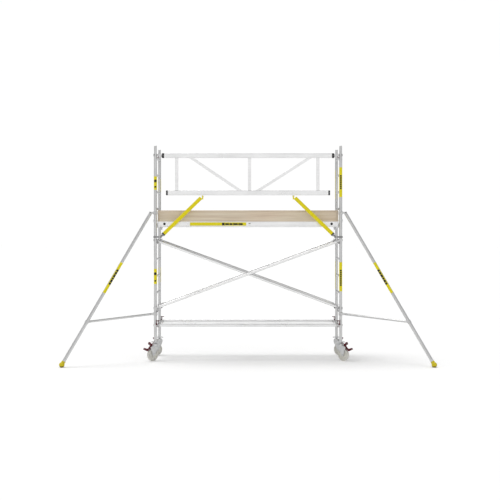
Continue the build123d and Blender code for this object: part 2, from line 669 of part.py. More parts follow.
def strut_bracket():
    """Band round the lower rail with two ears in front of it and the strut's pin."""
    x, z = STRUT_PIVOT
    reach = RAIL_DEPTH / 2 + 4.0
    band = block((x, Y_FRONT, RAIL_LOW_Z), (46.0, 2 * reach, RAIL_HEIGHT + 8.0), 3.0)
    band -= block((x, Y_FRONT, RAIL_LOW_Z), (60.0, RAIL_DEPTH + 0.04, RAIL_HEIGHT + 0.04))
    top = RAIL_LOW_Z - 8.0
    for side in (-1, 1):
        ear_x = x + side * (EYE_HALF + 0.5 + EAR_THICK / 2)
        ear = block((ear_x, STRUT_Y + 3.0, (z + top) / 2), (EAR_THICK, 14.0, top - z))
        band += ear + rod((ear_x - EAR_THICK / 2, STRUT_Y, z), (ear_x + EAR_THICK / 2, STRUT_Y, z), 10.0)
    half = EYE_HALF + EAR_THICK + 3.0
    return band + rod((x - half, STRUT_Y, z), (x + half, STRUT_Y, z), 5.0)


def strut_tube():
    """Yellow telescopic strut with its rounded end and the eye on the guardrail's pin."""
    body = rod(strut_point(38.0), strut_point(STRUT_LENGTH - 54.0), STRUT_R)
    body = fillet(body.edges().sort_by(Axis.Z)[-1], 9.0)
    body -= rod(strut_point(50.0), strut_point(STRUT_LENGTH), STRUT_R - 2.0)
    x, z = STRUT_PIVOT
    eye = rod((x - EYE_HALF, STRUT_Y, z), (x + EYE_HALF, STRUT_Y, z), 11.0)
    neck_low = z - 54.0
    eye += block((x, STRUT_Y, (z + neck_low) / 2), (2 * EYE_HALF, 16.0, z - neck_low))
    eye += block((x - 22.0, STRUT_Y, neck_low + 9.0), (50.0, 16.0, 18.0))
    return body + eye - rod((x - 20.0, STRUT_Y, z), (x + 20.0, STRUT_Y, z), 5.08)


def strut_hook():
    """Elbow in the end of the strut and an arm to a saddle on the front of the upright."""
    saddle = Pos(-HALF, Y_FRONT, SADDLE_Z) * (Cylinder(JAW_R, 30.0) - Cylinder(TUBE_R + 0.35, 32.0))
    saddle &= Pos(-HALF, Y_FRONT - 50.0, SADDLE_Z) * Box(100.0, 100.0, 40.0)
    elbow_x = STRUT_ELBOW[0]
    arm_run = (elbow_x + HALF + 12.0, 24.0, 28.0)
    arm = block((elbow_x + 12.0 - arm_run[0] / 2, STRUT_Y, SADDLE_Z), arm_run, 5.0)
    shank = rod(strut_point(STRUT_LENGTH - 40.0), strut_point(STRUT_LENGTH - 2.0), 17.0)
    collar = rod(strut_point(STRUT_LENGTH - 53.9), strut_point(STRUT_LENGTH - 34.0), STRUT_R + 0.5)
    plug = rod(strut_point(STRUT_LENGTH - 110.0), strut_point(STRUT_LENGTH - 50.0), STRUT_R - 2.05)
    body = saddle + arm + shank + collar + plug
    upright_room = TUBE_R + 0.35
    return body - upright_line(-HALF, Y_FRONT, SADDLE_Z - 60.0, SADDLE_Z + 60.0, upright_room)


# ---------------------------------------------------------------- stabilisers
# The left stabiliser; the right one is its mirror image.
STAB_RUN = math.hypot(STAB_OUT_X, STAB_OUT_Y)
STAB_DIR = (-STAB_OUT_X / STAB_RUN, -STAB_OUT_Y / STAB_RUN)
FOOT_Z = FOOT_R - FOOT_FLAT
STAB_ARM_R = 18.0
STAB_START = 84.0          # leg's upper end, from the upright's axis
STAB_JOINT_Z = 690.0       # where the lower arm meets the leg
CLAMP_BORE = TUBE_R + 0.25
CLAMP_R = TUBE_R + 9.0
CLAMP_HEIGHT = 52.0
LUG_HEIGHT = 22.0
LEVER_OUT = CLAMP_R + 10.0  # lever pin, from the upright's axis, square to the leg
LEVER_PIN_R = 4.0
LEVER_FORK = 5.0
LEVER_GRIP = 84.0
STAB_TURN = math.degrees(math.atan2(STAB_DIR[1], STAB_DIR[0]))


def stab_point(reach, z, aside=0.0):
    """A point at a horizontal distance from the left front upright in the stabiliser's plane."""
    dx, dy = STAB_DIR
    return (-HALF + dx * reach - dy * aside, Y_FRONT + dy * reach + dx * aside, z)


LEG_TOP = stab_point(STAB_START, STAB_TOP_Z)
LEG_FOOT = stab_point(STAB_RUN, FOOT_Z)
LEG_LENGTH = math.dist(LEG_TOP, LEG_FOOT)


def leg_point(distance):
    """A point on the leg's axis, measured down from its upper end."""
    share = distance / LEG_LENGTH
    return tuple(a + (b - a) * share for a, b in zip(LEG_TOP, LEG_FOOT))


JOINT_AT = LEG_LENGTH * (STAB_TOP_Z - STAB_JOINT_Z) / (STAB_TOP_Z - FOOT_Z)


def stab_clamp(z, pivot_reach):
    """Full clamp on the upright with an ear towards the leg and lugs for the clamping lever."""
    ring = Pos(-HALF, Y_FRONT, z) * Cylinder(CLAMP_R, CLAMP_HEIGHT)
    ring = fillet(ring.edges(), 3.0)
    ear = rod(stab_point(20.0, z), stab_point(pivot_reach, z), 13.0)
    lug = Rot(0, 0, STAB_TURN) * Box(18.0, 24.0, LUG_HEIGHT)
    body = ring + ear + Pos(*stab_point(0.0, z, CLAMP_R + 3.0)) * lug
    body -= Pos(*stab_point(0.0, z, LEVER_OUT)) * Cylinder(LEVER_PIN_R + 0.06, CLAMP_HEIGHT)
    return body - upright_line(-HALF, Y_FRONT, z - 60.0, z + 60.0, CLAMP_BORE)


def stab_clamps():
    return [stab_clamp(STAB_TOP_Z, 58.0), stab_clamp(STAB_LOW_Z, 48.0)]


def stab_levers():
    """The clamping levers of both clamps, on one vertical line of pins."""
    levers = []
    fork_z = LUG_HEIGHT / 2 + 0.5 + LEVER_FORK / 2
    height = 2 * (fork_z + LEVER_FORK / 2)
    for z in (STAB_TOP_Z, STAB_LOW_Z):
        x, y, _ = stab_point(0.0, z, LEVER_OUT)
        lever = Pos(x, y, z) * Cylinder(LEVER_PIN_R, height)
        for side in (-1, 1):
            cheek = stab_point(8.0, z + side * fork_z, LEVER_OUT)
            lever += Pos(*cheek) * Rot(0, 0, STAB_TURN) * Box(30.0, 12.0, LEVER_FORK)
        middle = stab_point(14.0 + LEVER_GRIP / 2, z, LEVER_OUT + 2.0)
        grip = fillet(Box(LEVER_GRIP, 8.0, height).edges().filter_by(Axis.Z), 2.5)
        levers.append(lever + Pos(*middle) * Rot(0, 0, STAB_TURN) * grip)
    return levers


def stab_leg():
    """Outer tube of the leg with its end fitting on the upper clamp's ear."""
    outer = tube(leg_point(0.0), leg_point(LEG_LENGTH - 62.0), STAB_R, 2.0)
    head = rod(leg_point(-6.0), leg_point(24.0), STAB_R - 2.05)
    cap = rod(leg_point(-6.0), leg_point(0.0), STAB_R)
    neck = rod(stab_point(58.1, STAB_TOP_Z), LEG_TOP, 11.0)
    inner_room = rod(leg_point(24.0), leg_point(80.0), STAB_R - 2.0)
    fitting = head + cap + (neck - rod(leg_point(-6.0), leg_point(60.0), STAB_R))
    clear = rod(stab_point(20.0, STAB_TOP_Z), stab_point(58.05, STAB_TOP_Z), 30.0)
    return [outer, fitting - inner_room - clear]


def stab_arm():
    """Lower arm from the lower clamp to a sliding collar on the leg."""
    end = leg_point(JOINT_AT)
    start = stab_point(48.8, STAB_LOW_Z)
    collar = tube(leg_point(JOINT_AT - 26.0), leg_point(JOINT_AT + 26.0), STAB_R + 5.0, 4.95)
    leg_room = rod(leg_point(JOINT_AT - 80.0), leg_point(JOINT_AT + 80.0), STAB_R + 0.05)
    arm = rod(start, end, STAB_ARM_R) - leg_room
    near_side = max(arm.solids(), key=lambda solid: solid.volume)
    return collar + near_side


def stab_extension():
    """Inner tube of the leg; it slides out of the lower end to lengthen the leg."""
    return tube(leg_point(LEG_LENGTH - 1050.0), leg_point(LEG_LENGTH - 20.0), STAB_R - 2.3, 2.0)


def stab_foot():
    """Ball foot with a short socket for the inner tube."""
    ball = Pos(*LEG_FOOT) * Sphere(FOOT_R)
    socket = rod(LEG_FOOT, leg_point(LEG_LENGTH - 60.0), STAB_R + 5.0)
    floor_cut = Pos(LEG_FOOT[0], LEG_FOOT[1], -50.0) * Box(200.0, 200.0, 100.0)
    body = ball + socket - floor_cut
    return body - rod(leg_point(LEG_LENGTH - 20.0), leg_point(LEG_LENGTH - 90.0), STAB_R - 2.28)


# ---------------------------------------------------------------- all nodes


def build_nodes():
    """Every sub-part by name, as a list of shapes."""
    nodes = {}
    for end, sign in ENDS.items():
        nodes[f"lower_frame_{end}"] = lower_frame(sign)
        nodes[f"upper_frame_{end}"] = upper_frame(sign)
    nodes["spigots"] = spigots(SPLICE_Z) + spigots(TOP_Z)
    nodes["splice_clips"] = splice_clips()

    pieces = {
        "spindle": [castor_spindle()],
        "height_nut": [castor_nut()],
        "fork": castor_fork(),
        "wheel": [castor_wheel()],
        "brake_pedal": [castor_pedal()],
    }
    for side, y in SIDES.items():
        for end, sign in ENDS.items():
            for piece, shapes in pieces.items():
                name = f"{piece}_{side}_{end}"
                if piece == "height_nut":
                    nodes[name] = [Pos(sign * HALF, y, 0) * shape for shape in shapes]
                else:
                    nodes[name] = [place_castor(shape, sign, y) for shape in shapes]

    nodes["diagonal_braces"] = front_and_rear(front_diagonals())
    ledger = brace_tube(LEDGER_Z, LEDGER_Z, Y_FRONT, LEDGER_R)
    nodes["horizontal_braces"] = front_and_rear([ledger])
    nodes["claws"] = front_and_rear(front_claws()) + both_ends([guardrail_claw()])
    nodes["diagonal_triggers"] = front_and_rear(front_diagonal_triggers())
    nodes["horizontal_triggers"] = front_and_rear(front_ledger_triggers())
    nodes["guardrail_triggers"] = both_ends([guardrail_trigger()])

    nodes["platform_frame"] = platform_frame() + both_ends(lock_ears())
    nodes["platform_deck"] = [platform_deck()]
    nodes["platform_hatch"] = [platform_hatch()]
    nodes["hatch_hinges"] = hatch_hinges()
    nodes["hatch_latch"] = [hatch_latch()]
    nodes["platform_hooks"] = platform_hooks()
    nodes["platform_lock_left"] = [platform_lock()]
    nodes["platform_lock_right"] = [flip_x(platform_lock())]
    nodes["toe_boards"] = toe_boards_long() + toe_boards_end()
    nodes["toe_board_brackets"] = toe_board_brackets()
    nodes["plastic_caps"] = beam_plugs() + guardrail_sleeves()

    nodes["guardrail_frame"] = guardrail_frame() + both_ends([strut_bracket()])
    for end, sign in ENDS.items():
        turned = (lambda shape: shape) if sign < 0 else flip_x
        nodes[f"strut_{end}"] = [turned(strut_tube())]
        nodes[f"strut_hook_{end}"] = [turned(strut_hook())]
        nodes[f"stabiliser_clamps_{end}"] = [turned(shape) for shape in stab_clamps()]
        nodes[f"stabiliser_levers_{end}"] = [turned(shape) for shape in stab_levers()]
        nodes[f"stabiliser_leg_{end}"] = [turned(shape) for shape in stab_leg()]
        nodes[f"stabiliser_arm_{end}"] = [turned(stab_arm())]
        nodes[f"stabiliser_extension_{end}"] = [turned(stab_extension())]
        nodes[f"stabiliser_foot_{end}"] = [turned(stab_foot())]
    return nodes


def main():
    os.makedirs("parts", exist_ok=True)
    for name, shapes in build_nodes().items():
        solids = [solid for shape in shapes for solid in shape.solids()]
        export_step(Compound(solids), f"parts/{name}.step")


if __name__ == "__main__":
    main()
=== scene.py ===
import bmesh
import bpy
import json
import math
from mathutils import Matrix, Vector


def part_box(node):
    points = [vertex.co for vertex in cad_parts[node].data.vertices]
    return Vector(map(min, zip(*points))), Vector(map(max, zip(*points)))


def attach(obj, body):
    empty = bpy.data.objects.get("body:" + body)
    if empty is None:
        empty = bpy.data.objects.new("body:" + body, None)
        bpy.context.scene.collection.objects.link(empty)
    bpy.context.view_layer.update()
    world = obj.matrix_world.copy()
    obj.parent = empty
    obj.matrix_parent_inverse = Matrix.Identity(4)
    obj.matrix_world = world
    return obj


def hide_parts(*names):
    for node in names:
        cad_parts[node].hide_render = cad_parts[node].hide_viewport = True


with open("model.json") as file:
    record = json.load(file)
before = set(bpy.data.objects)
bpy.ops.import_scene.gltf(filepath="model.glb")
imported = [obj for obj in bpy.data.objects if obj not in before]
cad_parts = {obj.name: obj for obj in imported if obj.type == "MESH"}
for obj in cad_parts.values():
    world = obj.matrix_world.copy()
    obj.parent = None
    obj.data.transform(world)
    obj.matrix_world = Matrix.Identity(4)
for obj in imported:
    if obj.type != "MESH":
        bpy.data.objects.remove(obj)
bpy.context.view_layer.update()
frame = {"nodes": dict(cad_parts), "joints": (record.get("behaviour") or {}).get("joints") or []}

# Mobile aluminium scaffold tower. Metres, X along the tower, Y from front to rear, Z up.
MM = 0.001
ENDS = {"left": -1, "right": 1}
SIDES = ("front", "rear")
TAU = 2 * math.pi
joints = {joint["name"]: joint for joint in frame["joints"]}


# ---------------------------------------------------------------- places read from the frame
lower_low, lower_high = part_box("lower_frame_right")
TUBE_R = (lower_high.x - lower_low.x) / 2
UPRIGHT_X = (lower_high.x + lower_low.x) / 2
Y_FRONT = lower_low.y + TUBE_R
Y_REAR = lower_high.y - TUBE_R
Y_MID = (Y_FRONT + Y_REAR) / 2
SPLICE_Z = lower_high.z
TOP_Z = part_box("upper_frame_right")[1].z
UPRIGHT_Y = {"front": Y_FRONT, "rear": Y_REAR}
deck_low, deck_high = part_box("platform_deck")
DECK_TOP = deck_high.z

RUNG_R = 17.0 * MM
RUNG_PITCH = 280.0 * MM
RUNG_TO_TOP = 54.0 * MM
LOWER_RUNGS = [SPLICE_Z - RUNG_TO_TOP - RUNG_PITCH * i for i in range(7)]
UPPER_RUNGS = [TOP_Z - RUNG_TO_TOP - RUNG_PITCH * i for i in range(4)]
PLATFORM_RUNG_Z = LOWER_RUNGS[0]


# ---------------------------------------------------------------- materials
class Shader:
    """A node material with a few short ways to vary it over the surface."""

    def __init__(self, name, color, roughness, metallic=0.0):
        self.material = bpy.data.materials.new(name)
        self.material.use_nodes = True
        self.tree = self.material.node_tree
        self.surface = self.tree.nodes["Principled BSDF"]
        self.surface.inputs["Base Color"].default_value = (*color, 1)
        self.surface.inputs["Roughness"].default_value = roughness
        self.surface.inputs["Metallic"].default_value = metallic
        self.place = self.add("ShaderNodeTexCoord").outputs["Object"]

    def add(self, kind, **settings):
        node = self.tree.nodes.new(kind)
        for key, value in settings.items():
            setattr(node, key, value)
        return node

    def link(self, source, target):
        self.tree.links.new(source, target)

    def scaled(self, scale, turn=(0, 0, 0)):
        mapping = self.add("ShaderNodeMapping")
        mapping.inputs["Scale"].default_value = scale
        mapping.inputs["Rotation"].default_value = turn
        self.link(self.place, mapping.inputs["Vector"])
        return mapping.outputs["Vector"]

    def noise(self, scale, detail=4.0, stretch=(1, 1, 1), turn=(0, 0, 0)):
        texture = self.add("ShaderNodeTexNoise")
        texture.inputs["Scale"].default_value = scale
        texture.inputs["Detail"].default_value = detail
        self.link(self.scaled(stretch, turn), texture.inputs["Vector"])
        return texture.outputs["Fac"]

    def ramp(self, value, *stops):
        ramp = self.add("ShaderNodeValToRGB")
        while len(ramp.color_ramp.elements) < len(stops):
            ramp.color_ramp.elements.new(0.5)
        for element, (position, color) in zip(ramp.color_ramp.elements, stops):
            element.position = position
            element.color = (*color, 1)
        self.link(value, ramp.inputs["Fac"])
        return ramp.outputs["Color"]

    def grey_ramp(self, value, low, high, dark, bright):
        return self.ramp(value, (low, (dark,) * 3), (high, (bright,) * 3))

    def mix(self, share, first, second, blend="MIX"):
        node = self.add("ShaderNodeMix", data_type="RGBA", blend_type=blend)
        for socket, source in ((node.inputs[0], share), (node.inputs[6], first), (node.inputs[7], second)):
            if isinstance(source, float):
                socket.default_value = source
            elif isinstance(source, tuple):
                socket.default_value = (*source, 1)
            else:
                self.link(source, socket)
        return node.outputs[2]

    def color(self, source):
        self.link(source, self.surface.inputs["Base Color"])

    def roughness(self, source):
        self.link(source, self.surface.inputs["Roughness"])

    def bump(self, height, strength, distance):
        node = self.add("ShaderNodeBump")
        node.inputs["Strength"].default_value = strength
        node.inputs["Distance"].default_value = distance
        self.link(height, node.inputs["Height"])
        previous = self.surface.inputs["Normal"]
        if previous.is_linked:
            self.link(previous.links[0].from_socket, node.inputs["Normal"])
        self.link(node.outputs["Normal"], previous)


def aluminium(name, dark, bright, stretch, turn=(0, 0, 0)):
    """Mill finish extrusion: die lines along the tube, cloudy handling marks, a few scuffs."""
    shader = Shader(name, (bright,) * 3, 0.34, 1.0)
    clouds = shader.noise(2.6, 5.0)
    lines = shader.noise(90.0, 3.0, stretch, turn)
    scuffs = shader.noise(38.0, 6.0)
    tone = shader.grey_ramp(clouds, 0.3, 0.7, dark, bright)
    tone = shader.mix(0.35, tone, shader.grey_ramp(lines, 0.35, 0.65, dark, bright))
    marks = shader.grey_ramp(scuffs, 0.66, 0.72, 1.0, 0.82)
    shader.color(shader.mix(0.6, tone, marks, "MULTIPLY"))
    shader.roughness(shader.grey_ramp(clouds, 0.3, 0.7, 0.26, 0.38))
    shader.bump(lines, 0.03, 0.0003)
    return shader.material


def casting(name, dark, bright):
    """Sand-tumbled casting: matt, grainy and a little darker than the tubes."""
    shader = Shader(name, (bright,) * 3, 0.5, 1.0)
    grain = shader.noise(700.0, 2.0)
    clouds = shader.noise(14.0, 4.0)
    shader.color(shader.grey_ramp(clouds, 0.3, 0.7, dark, bright))
    shader.roughness(shader.grey_ramp(grain, 0.3, 0.7, 0.42, 0.60))
    shader.bump(grain, 0.35, 0.0005)
    return shader.material


def zinc():
    """Bright zinc plating over pressed steel, with the faint blotches of the bath."""
    shader = Shader("zinc_steel", (0.62, 0.63, 0.64), 0.36, 1.0)
    blotches = shader.noise(45.0, 5.0)
    fine = shader.noise(420.0, 2.0)
    shader.color(shader.ramp(blotches, (0.3, (0.50, 0.51, 0.52)), (0.7, (0.70, 0.70, 0.69))))
    shader.roughness(shader.grey_ramp(blotches, 0.3, 0.7, 0.28, 0.46))
    shader.bump(fine, 0.12, 0.0003)
    return shader.material


def moulded(name, color, worn, roughness, grain=900.0):
    """Moulded plastic: fine spark texture, lighter where hands and boots rub it."""
    shader = Shader(name, color, roughness)
    texture = shader.noise(grain, 2.0)
    rub = shader.noise(24.0, 6.0)
    shader.color(shader.ramp(rub, (0.58, color), (0.78, worn)))
    shader.roughness(shader.grey_ramp(rub, 0.4, 0.75, roughness - 0.06, roughness + 0.14))
    shader.bump(texture, 0.25, 0.0003)
    shader.surface.inputs["Specular IOR Level"].default_value = 0.22
    return shader.material


def nylon():
    """Greyish-white nylon: faint flow marks and patches of dust."""
    shader = Shader("nylon", (0.62, 0.61, 0.56), 0.42)
    flow = shader.noise(30.0, 4.0)
    dust = shader.noise(140.0, 6.0)
    tone = shader.ramp(flow, (0.35, (0.59, 0.58, 0.53)), (0.65, (0.66, 0.65, 0.60)))
    shader.color(shader.mix(0.5, tone, shader.grey_ramp(dust, 0.58, 0.70, 1.0, 0.80), "MULTIPLY"))
    shader.surface.inputs["Subsurface Weight"].default_value = 0.05
    shader.surface.inputs["Subsurface Radius"].default_value = (0.004, 0.003, 0.002)
    shader.bump(dust, 0.08, 0.0005)
    return shader.material


def film_plywood():
    """Film-faced plywood deck: dark phenolic film pressed with a fine wire mesh."""
    shader = Shader("film_plywood", (0.03, 0.028, 0.026), 0.5)
    clouds = shader.noise(7.0, 5.0)
    shader.color(shader.ramp(clouds, (0.3, (0.020, 0.019, 0.018)), (0.7, (0.038, 0.035, 0.032))))
    mesh_lines = []
    for direction in ("X", "Y"):
        wave = shader.add("ShaderNodeTexWave", bands_direction=direction)
        wave.inputs["Scale"].default_value = 42.0
        shader.link(shader.scaled((1, 1, 1)), wave.inputs["Vector"])
        mesh_lines.append(wave.outputs["Fac"])
    weave = shader.mix(1.0, mesh_lines[0], mesh_lines[1], "MULTIPLY")
    shader.bump(weave, 0.4, 0.0008)
    shader.roughness(shader.grey_ramp(clouds, 0.3, 0.7, 0.40, 0.62))
    return shader.material


def board_wood():
    """Pale planed board: long figure, fine pores and small knots."""
    shader = Shader("pale_wood", (0.70, 0.60, 0.47), 0.55)
    figure = shader.noise(3.4, 6.0, (0.35, 6.0, 7.0))
    pores = shader.noise(60.0, 5.0, (0.06, 3.0, 3.0))
    patches = shader.noise(1.1, 3.0, (0.7, 1.0, 3.0))
    tone = shader.ramp(
        figure,
        (0.30, (0.560, 0.450, 0.330)),
        (0.50, (0.665, 0.560, 0.430)),
        (0.70, (0.735, 0.645, 0.520)),
    )
    tone = shader.mix(0.35, tone, shader.grey_ramp(pores, 0.35, 0.62, 0.72, 1.0), "MULTIPLY")
    tint = shader.ramp(patches, (0.35, (1.0, 0.955, 0.93)), (0.65, (0.97, 1.0, 0.98)))
    shader.color(shader.mix(0.8, tone, tint, "MULTIPLY"))
    shader.bump(pores, 0.18, 0.0006)
    shader.roughness(shader.grey_ramp(figure, 0.3, 0.7, 0.48, 0.64))
    return shader.material


def powder_coat(name, color, chipped):
    """Powder coat: orange peel, slight fading and small chips."""
    shader = Shader(name, color, 0.38)
    peel = shader.noise(320.0, 2.0)
    fade = shader.noise(9.0, 4.0)
    chips = shader.noise(75.0, 8.0)
    faded = tuple(min(1.0, channel * 1.08 + 0.002) for channel in color)
    tone = shader.ramp(fade, (0.35, color), (0.65, faded))
    shader.color(shader.mix(shader.grey_ramp(chips, 0.735, 0.75, 0.0, 1.0), tone, chipped))
    shader.bump(peel, 0.12, 0.0004)
    shader.surface.inputs["Specular IOR Level"].default_value = 0.25
    return shader.material


def vinyl(name, color):
    """Printed vinyl label with slight wear."""
    shader = Shader(name, color, 0.34)
    wear = shader.noise(34.0, 6.0)
    lighter = tuple(min(1.0, channel * 1.10 + 0.002) for channel in color)
    shader.color(shader.ramp(wear, (0.45, color), (0.75, lighter)))
    shader.surface.inputs["Specular IOR Level"].default_value = 0.25
    shader.bump(shader.noise(150.0, 2.0), 0.05, 0.0003)
    return shader.material


YELLOW = (0.70, 0.60, 0.002)
materials = {
    "tube_z": aluminium("aluminium_upright", 0.50, 0.64, (1, 1, 0.02)),
    "tube_y": aluminium("aluminium_rung", 0.50, 0.64, (1, 0.02, 1)),
    "tube_x": aluminium("aluminium_beam", 0.76, 0.90, (0.02, 1, 1)),
    "tube_slope": aluminium("aluminium_leg", 0.52, 0.66, (0.3, 0.3, 0.3)),
    "cast": casting("cast_aluminium", 0.54, 0.68),
    "dark_cast": casting("dark_casting", 0.24, 0.34),
    "zinc": zinc(),
    "nylon": nylon(),
    "black": moulded("black_plastic", (0.022, 0.022, 0.023), (0.07, 0.07, 0.07), 0.45),
    "dark_red": moulded("dark_red", (0.085, 0.002, 0.008), (0.13, 0.008, 0.016), 0.42),
    "film": film_plywood(),
    "wood": board_wood(),
    "yellow": powder_coat("yellow_coat", YELLOW, (0.42, 0.40, 0.36)),
    "foot": moulded("foot_rubber", (0.58, 0.48, 0.015), (0.30, 0.24, 0.05), 0.55, 500.0),
    # painted shade: a dark copy of the yellow foot rubber, used on the underside of the ball feet
    "painted_shade_rubber": moulded("foot_underside_painted_shade", (0.16, 0.11, 0.02), (0.25, 0.19, 0.06), 0.7, 500.0),
    "tan": powder_coat("tan_coat", (0.56, 0.47, 0.36), (0.42, 0.40, 0.36)),
    "white": vinyl("label_white", (0.80, 0.80, 0.79)),
    "label": vinyl("label_yellow", (0.70, 0.61, 0.004)),
    "print": vinyl("label_black", (0.012, 0.012, 0.012)),
}

NODE_MATERIAL = {
    "lower_frame": "tube_z",
    "upper_frame": "tube_z",
    "spigots": "tube_z",
    "splice_clips": "zinc",
    "height_nut": "zinc",
    "fork": "zinc",
    "wheel": "nylon",
    "brake_pedal": "dark_red",
    "diagonal_braces": "tube_x",
    "horizontal_braces": "tube_x",
    "claws": "cast",
    "diagonal_triggers": "black",
    "horizontal_triggers": "dark_red",
    "guardrail_triggers": "dark_red",
    "platform_frame": "tube_x",
    "platform_deck": "film",
    "platform_hatch": "film",
    "hatch_hinges": "zinc",
    "hatch_latch": "black",
    "platform_hooks": "cast",
    "platform_lock": "zinc",
    "toe_boards": "wood",
    "toe_board_brackets": "tan",
    "plastic_caps": "black",
    "guardrail_frame": "tube_x",
    "strut_left": "yellow",
    "strut_right": "yellow",
    "strut_hook": "dark_cast",
    "stabiliser_clamps": "cast",
    "stabiliser_levers": "cast",
    "stabiliser_leg": "tube_slope",
    "stabiliser_arm": "tube_slope",
    "stabiliser_extension": "tube_slope",
    "stabiliser_foot": "foot",
}


def finish_nodes():
    """Give every CAD node its material."""
    for name, node in frame["nodes"].items():
        for prefix, key in NODE_MATERIAL.items():
            if name.startswith(prefix):
                for slot in node.material_slots:
                    slot.link = "OBJECT"
                    slot.material = materials[key]


# ---------------------------------------------------------------- mesh helpers
def piece(name, mesh, body, material):
    """Make an object of a bmesh, with its material, riding on a body."""
    data = bpy.data.meshes.new(name)
    bmesh.ops.recalc_face_normals(mesh, faces=mesh.faces)
    mesh.to_mesh(data)
    mesh.free()
    shape = bpy.data.objects.new(name, data)
    bpy.context.scene.collection.objects.link(shape)
    data.materials.append(materials[material])
    for face in data.polygons:
        face.use_smooth = True
    data.set_sharp_from_angle(angle=math.radians(35))
    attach(shape, body)
    return shape


def frame_along(axis, start=(0, 0, 0), side=None):
    """Matrix whose Z runs along axis and whose X runs towards side as nearly as it can."""
    z = Vector(axis).normalized()
    if side is None:
        side = (0, 0, 1) if abs(z.z) < 0.9 else (1, 0, 0)
    hint = Vector(side)
    x = (hint - z * hint.dot(z)).normalized()
    y = z.cross(x)
    turn = Matrix((x, y, z)).transposed().to_4x4()
    return Matrix.Translation(start) @ turn


def add_ring(mesh, place, radius, height, count):
    """A ring of vertices at a height in the frame of place. radius may be a function of the angle."""
    ring = []
    for i in range(count):
        angle = TAU * i / count
        r = radius(angle) if callable(radius) else radius
        ring.append(mesh.verts.new(place @ Vector((r * math.cos(angle), r * math.sin(angle), height))))
    return ring


def join_rings(mesh, first, second, closed=True):
    """Faces between two rows of vertices, which are rings unless closed is False."""
    count = len(first)
    for i in range(count if closed else count - 1):
        j = (i + 1) % count
        mesh.faces.new((first[i], first[j], second[j], second[i]))


def close_stack(mesh, rings):
    """Faces between rings stacked one above the other, with a cap at both ends."""
    for first, second in zip(rings, rings[1:]):
        join_rings(mesh, first, second)
    mesh.faces.new(rings[0])
    mesh.faces.new(rings[-1])


def lathe(mesh, place, profile, count=32):
    """A closed turned body: profile is a list of (radius, height) from one end to the other."""
    rings = [add_ring(mesh, place, radius, height, count) for radius, height in profile]
    close_stack(mesh, rings)


def ring_body(mesh, place, profile, count=32):
    """A turned ring: the profile is a closed loop of (radius, height)."""
    rings = [add_ring(mesh, place, radius, height, count) for radius, height in profile]
    for first, second in zip(rings, rings[1:] + rings[:1]):
        join_rings(mesh, first, second)


def rivet(mesh, at, axis, radius, height):
    """Domed rivet head."""
    profile = [(radius, -0.3 * MM), (radius, height * 0.25)]
    for i in range(1, 4):
        angle = math.pi / 2 * i / 4
        profile.append((radius * math.cos(angle), height * (0.25 + 0.75 * math.sin(angle))))
    profile.append((radius * 0.12, height))
    lathe(mesh, frame_along(axis, at), profile, 14)


def bolt(mesh, at, axis, across, height, thread=0.0):
    """Hexagon head on a washer, or a nut with its thread end standing out by the length thread."""
    place = frame_along(axis, at)
    corner = across / 2 / math.cos(math.pi / 6)
    washer = 1.4 * MM
    rim = [(corner * 1.25, -0.2 * MM), (corner * 1.28, washer * 0.5), (corner * 1.22, washer)]
    lathe(mesh, place, rim, 24)
    rings = []
    for share, z in ((1.0, washer), (1.0, washer + height * 0.82), (0.90, washer + height)):
        rings.append(add_ring(mesh, place, corner * share, z, 6))
    close_stack(mesh, rings)
    if thread:
        screw_thread(mesh, place, across * 0.30, 1.25 * MM, washer + height - 0.5 * MM, thread, 16)


def screw_thread(mesh, place, radius, pitch, start, length, count=32, steps=8, depth=0.55):
    """A solid threaded stem: the crest stays at radius, the root is depth * pitch lower."""
    rings = []
    layers = max(2, round(length / pitch * steps))
    for layer in range(layers + 1):
        z = length * layer / layers

        def crest(angle, z=z):
            turn = (z / pitch - angle / TAU) % 1.0
            rise = min(1.0, max(0.0, 1.7 - abs(turn - 0.5) * 5.6))
            fade = min(1.0, z / pitch, (length - z) / pitch)
            return radius - depth * pitch * (1.0 - rise * fade)

        rings.append(add_ring(mesh, place, crest, start + z, count))
    close_stack(mesh, rings)


BEAD_SIDE = (0.3, 0.5, 0.8)


def sweep(mesh, points, radii, count):
    """A bead of varying radius along a closed loop of points."""
    rings = []
    neighbours = zip(points[-1:] + points[:-1], points[1:] + points[:1])
    for point, radius, (behind, ahead) in zip(points, radii, neighbours):
        place = frame_along(ahead - behind, point, BEAD_SIDE)
        rings.append(add_ring(mesh, place, radius, 0.0, count))
    for first, second in zip(rings, rings[1:] + rings[:1]):
        join_rings(mesh, first, second)


def ripple(i, base, swell, period):
    """Radius along a weld bead: the overlapping scales of a hand-made weld."""
    return base + swell * abs(math.sin(math.pi * i / period))


def slab(mesh, place, sizes, chamfer):
    """A box with chamfered edges all round."""
    x, y, z = (length / 2 for length in sizes)
    layers = []
    for height, inset in ((-z, chamfer), (-z + chamfer, 0.0), (z - chamfer, 0.0), (z, chamfer)):
        a, b, c = x - inset, y - inset, chamfer
        corners = [
            (a - c, -b), (a, -b + c), (a, b - c), (a - c, b),
            (-a + c, b), (-a, b - c), (-a, -b + c), (-a + c, -b),
        ]
        layers.append([mesh.verts.new(place @ Vector((px, py, height))) for px, py in corners])
    close_stack(mesh, layers)


def curved_label(mesh, place, radius, outline, thick):
    """A thin label wrapped on a tube whose axis is Z of place.

    outline is a grid of rows, each a list of (angle, height); X of place is angle 0.
    """
    layers = []
    for r in (radius, radius + thick):
        grid = []
        for row in outline:
            grid.append([
                mesh.verts.new(place @ Vector((r * math.cos(a), r * math.sin(a), h))) for a, h in row
            ])
        for first, second in zip(grid, grid[1:]):
            join_rings(mesh, first, second, closed=False)
        layers.append(grid)
    inner, outer = layers
    for row_in, row_out in ((inner[0], outer[0]), (inner[-1], outer[-1])):
        join_rings(mesh, row_in, row_out, closed=False)
    for column in (0, -1):
        first = [row[column] for row in inner]
        second = [row[column] for row in outer]
        join_rings(mesh, first, second, closed=False)


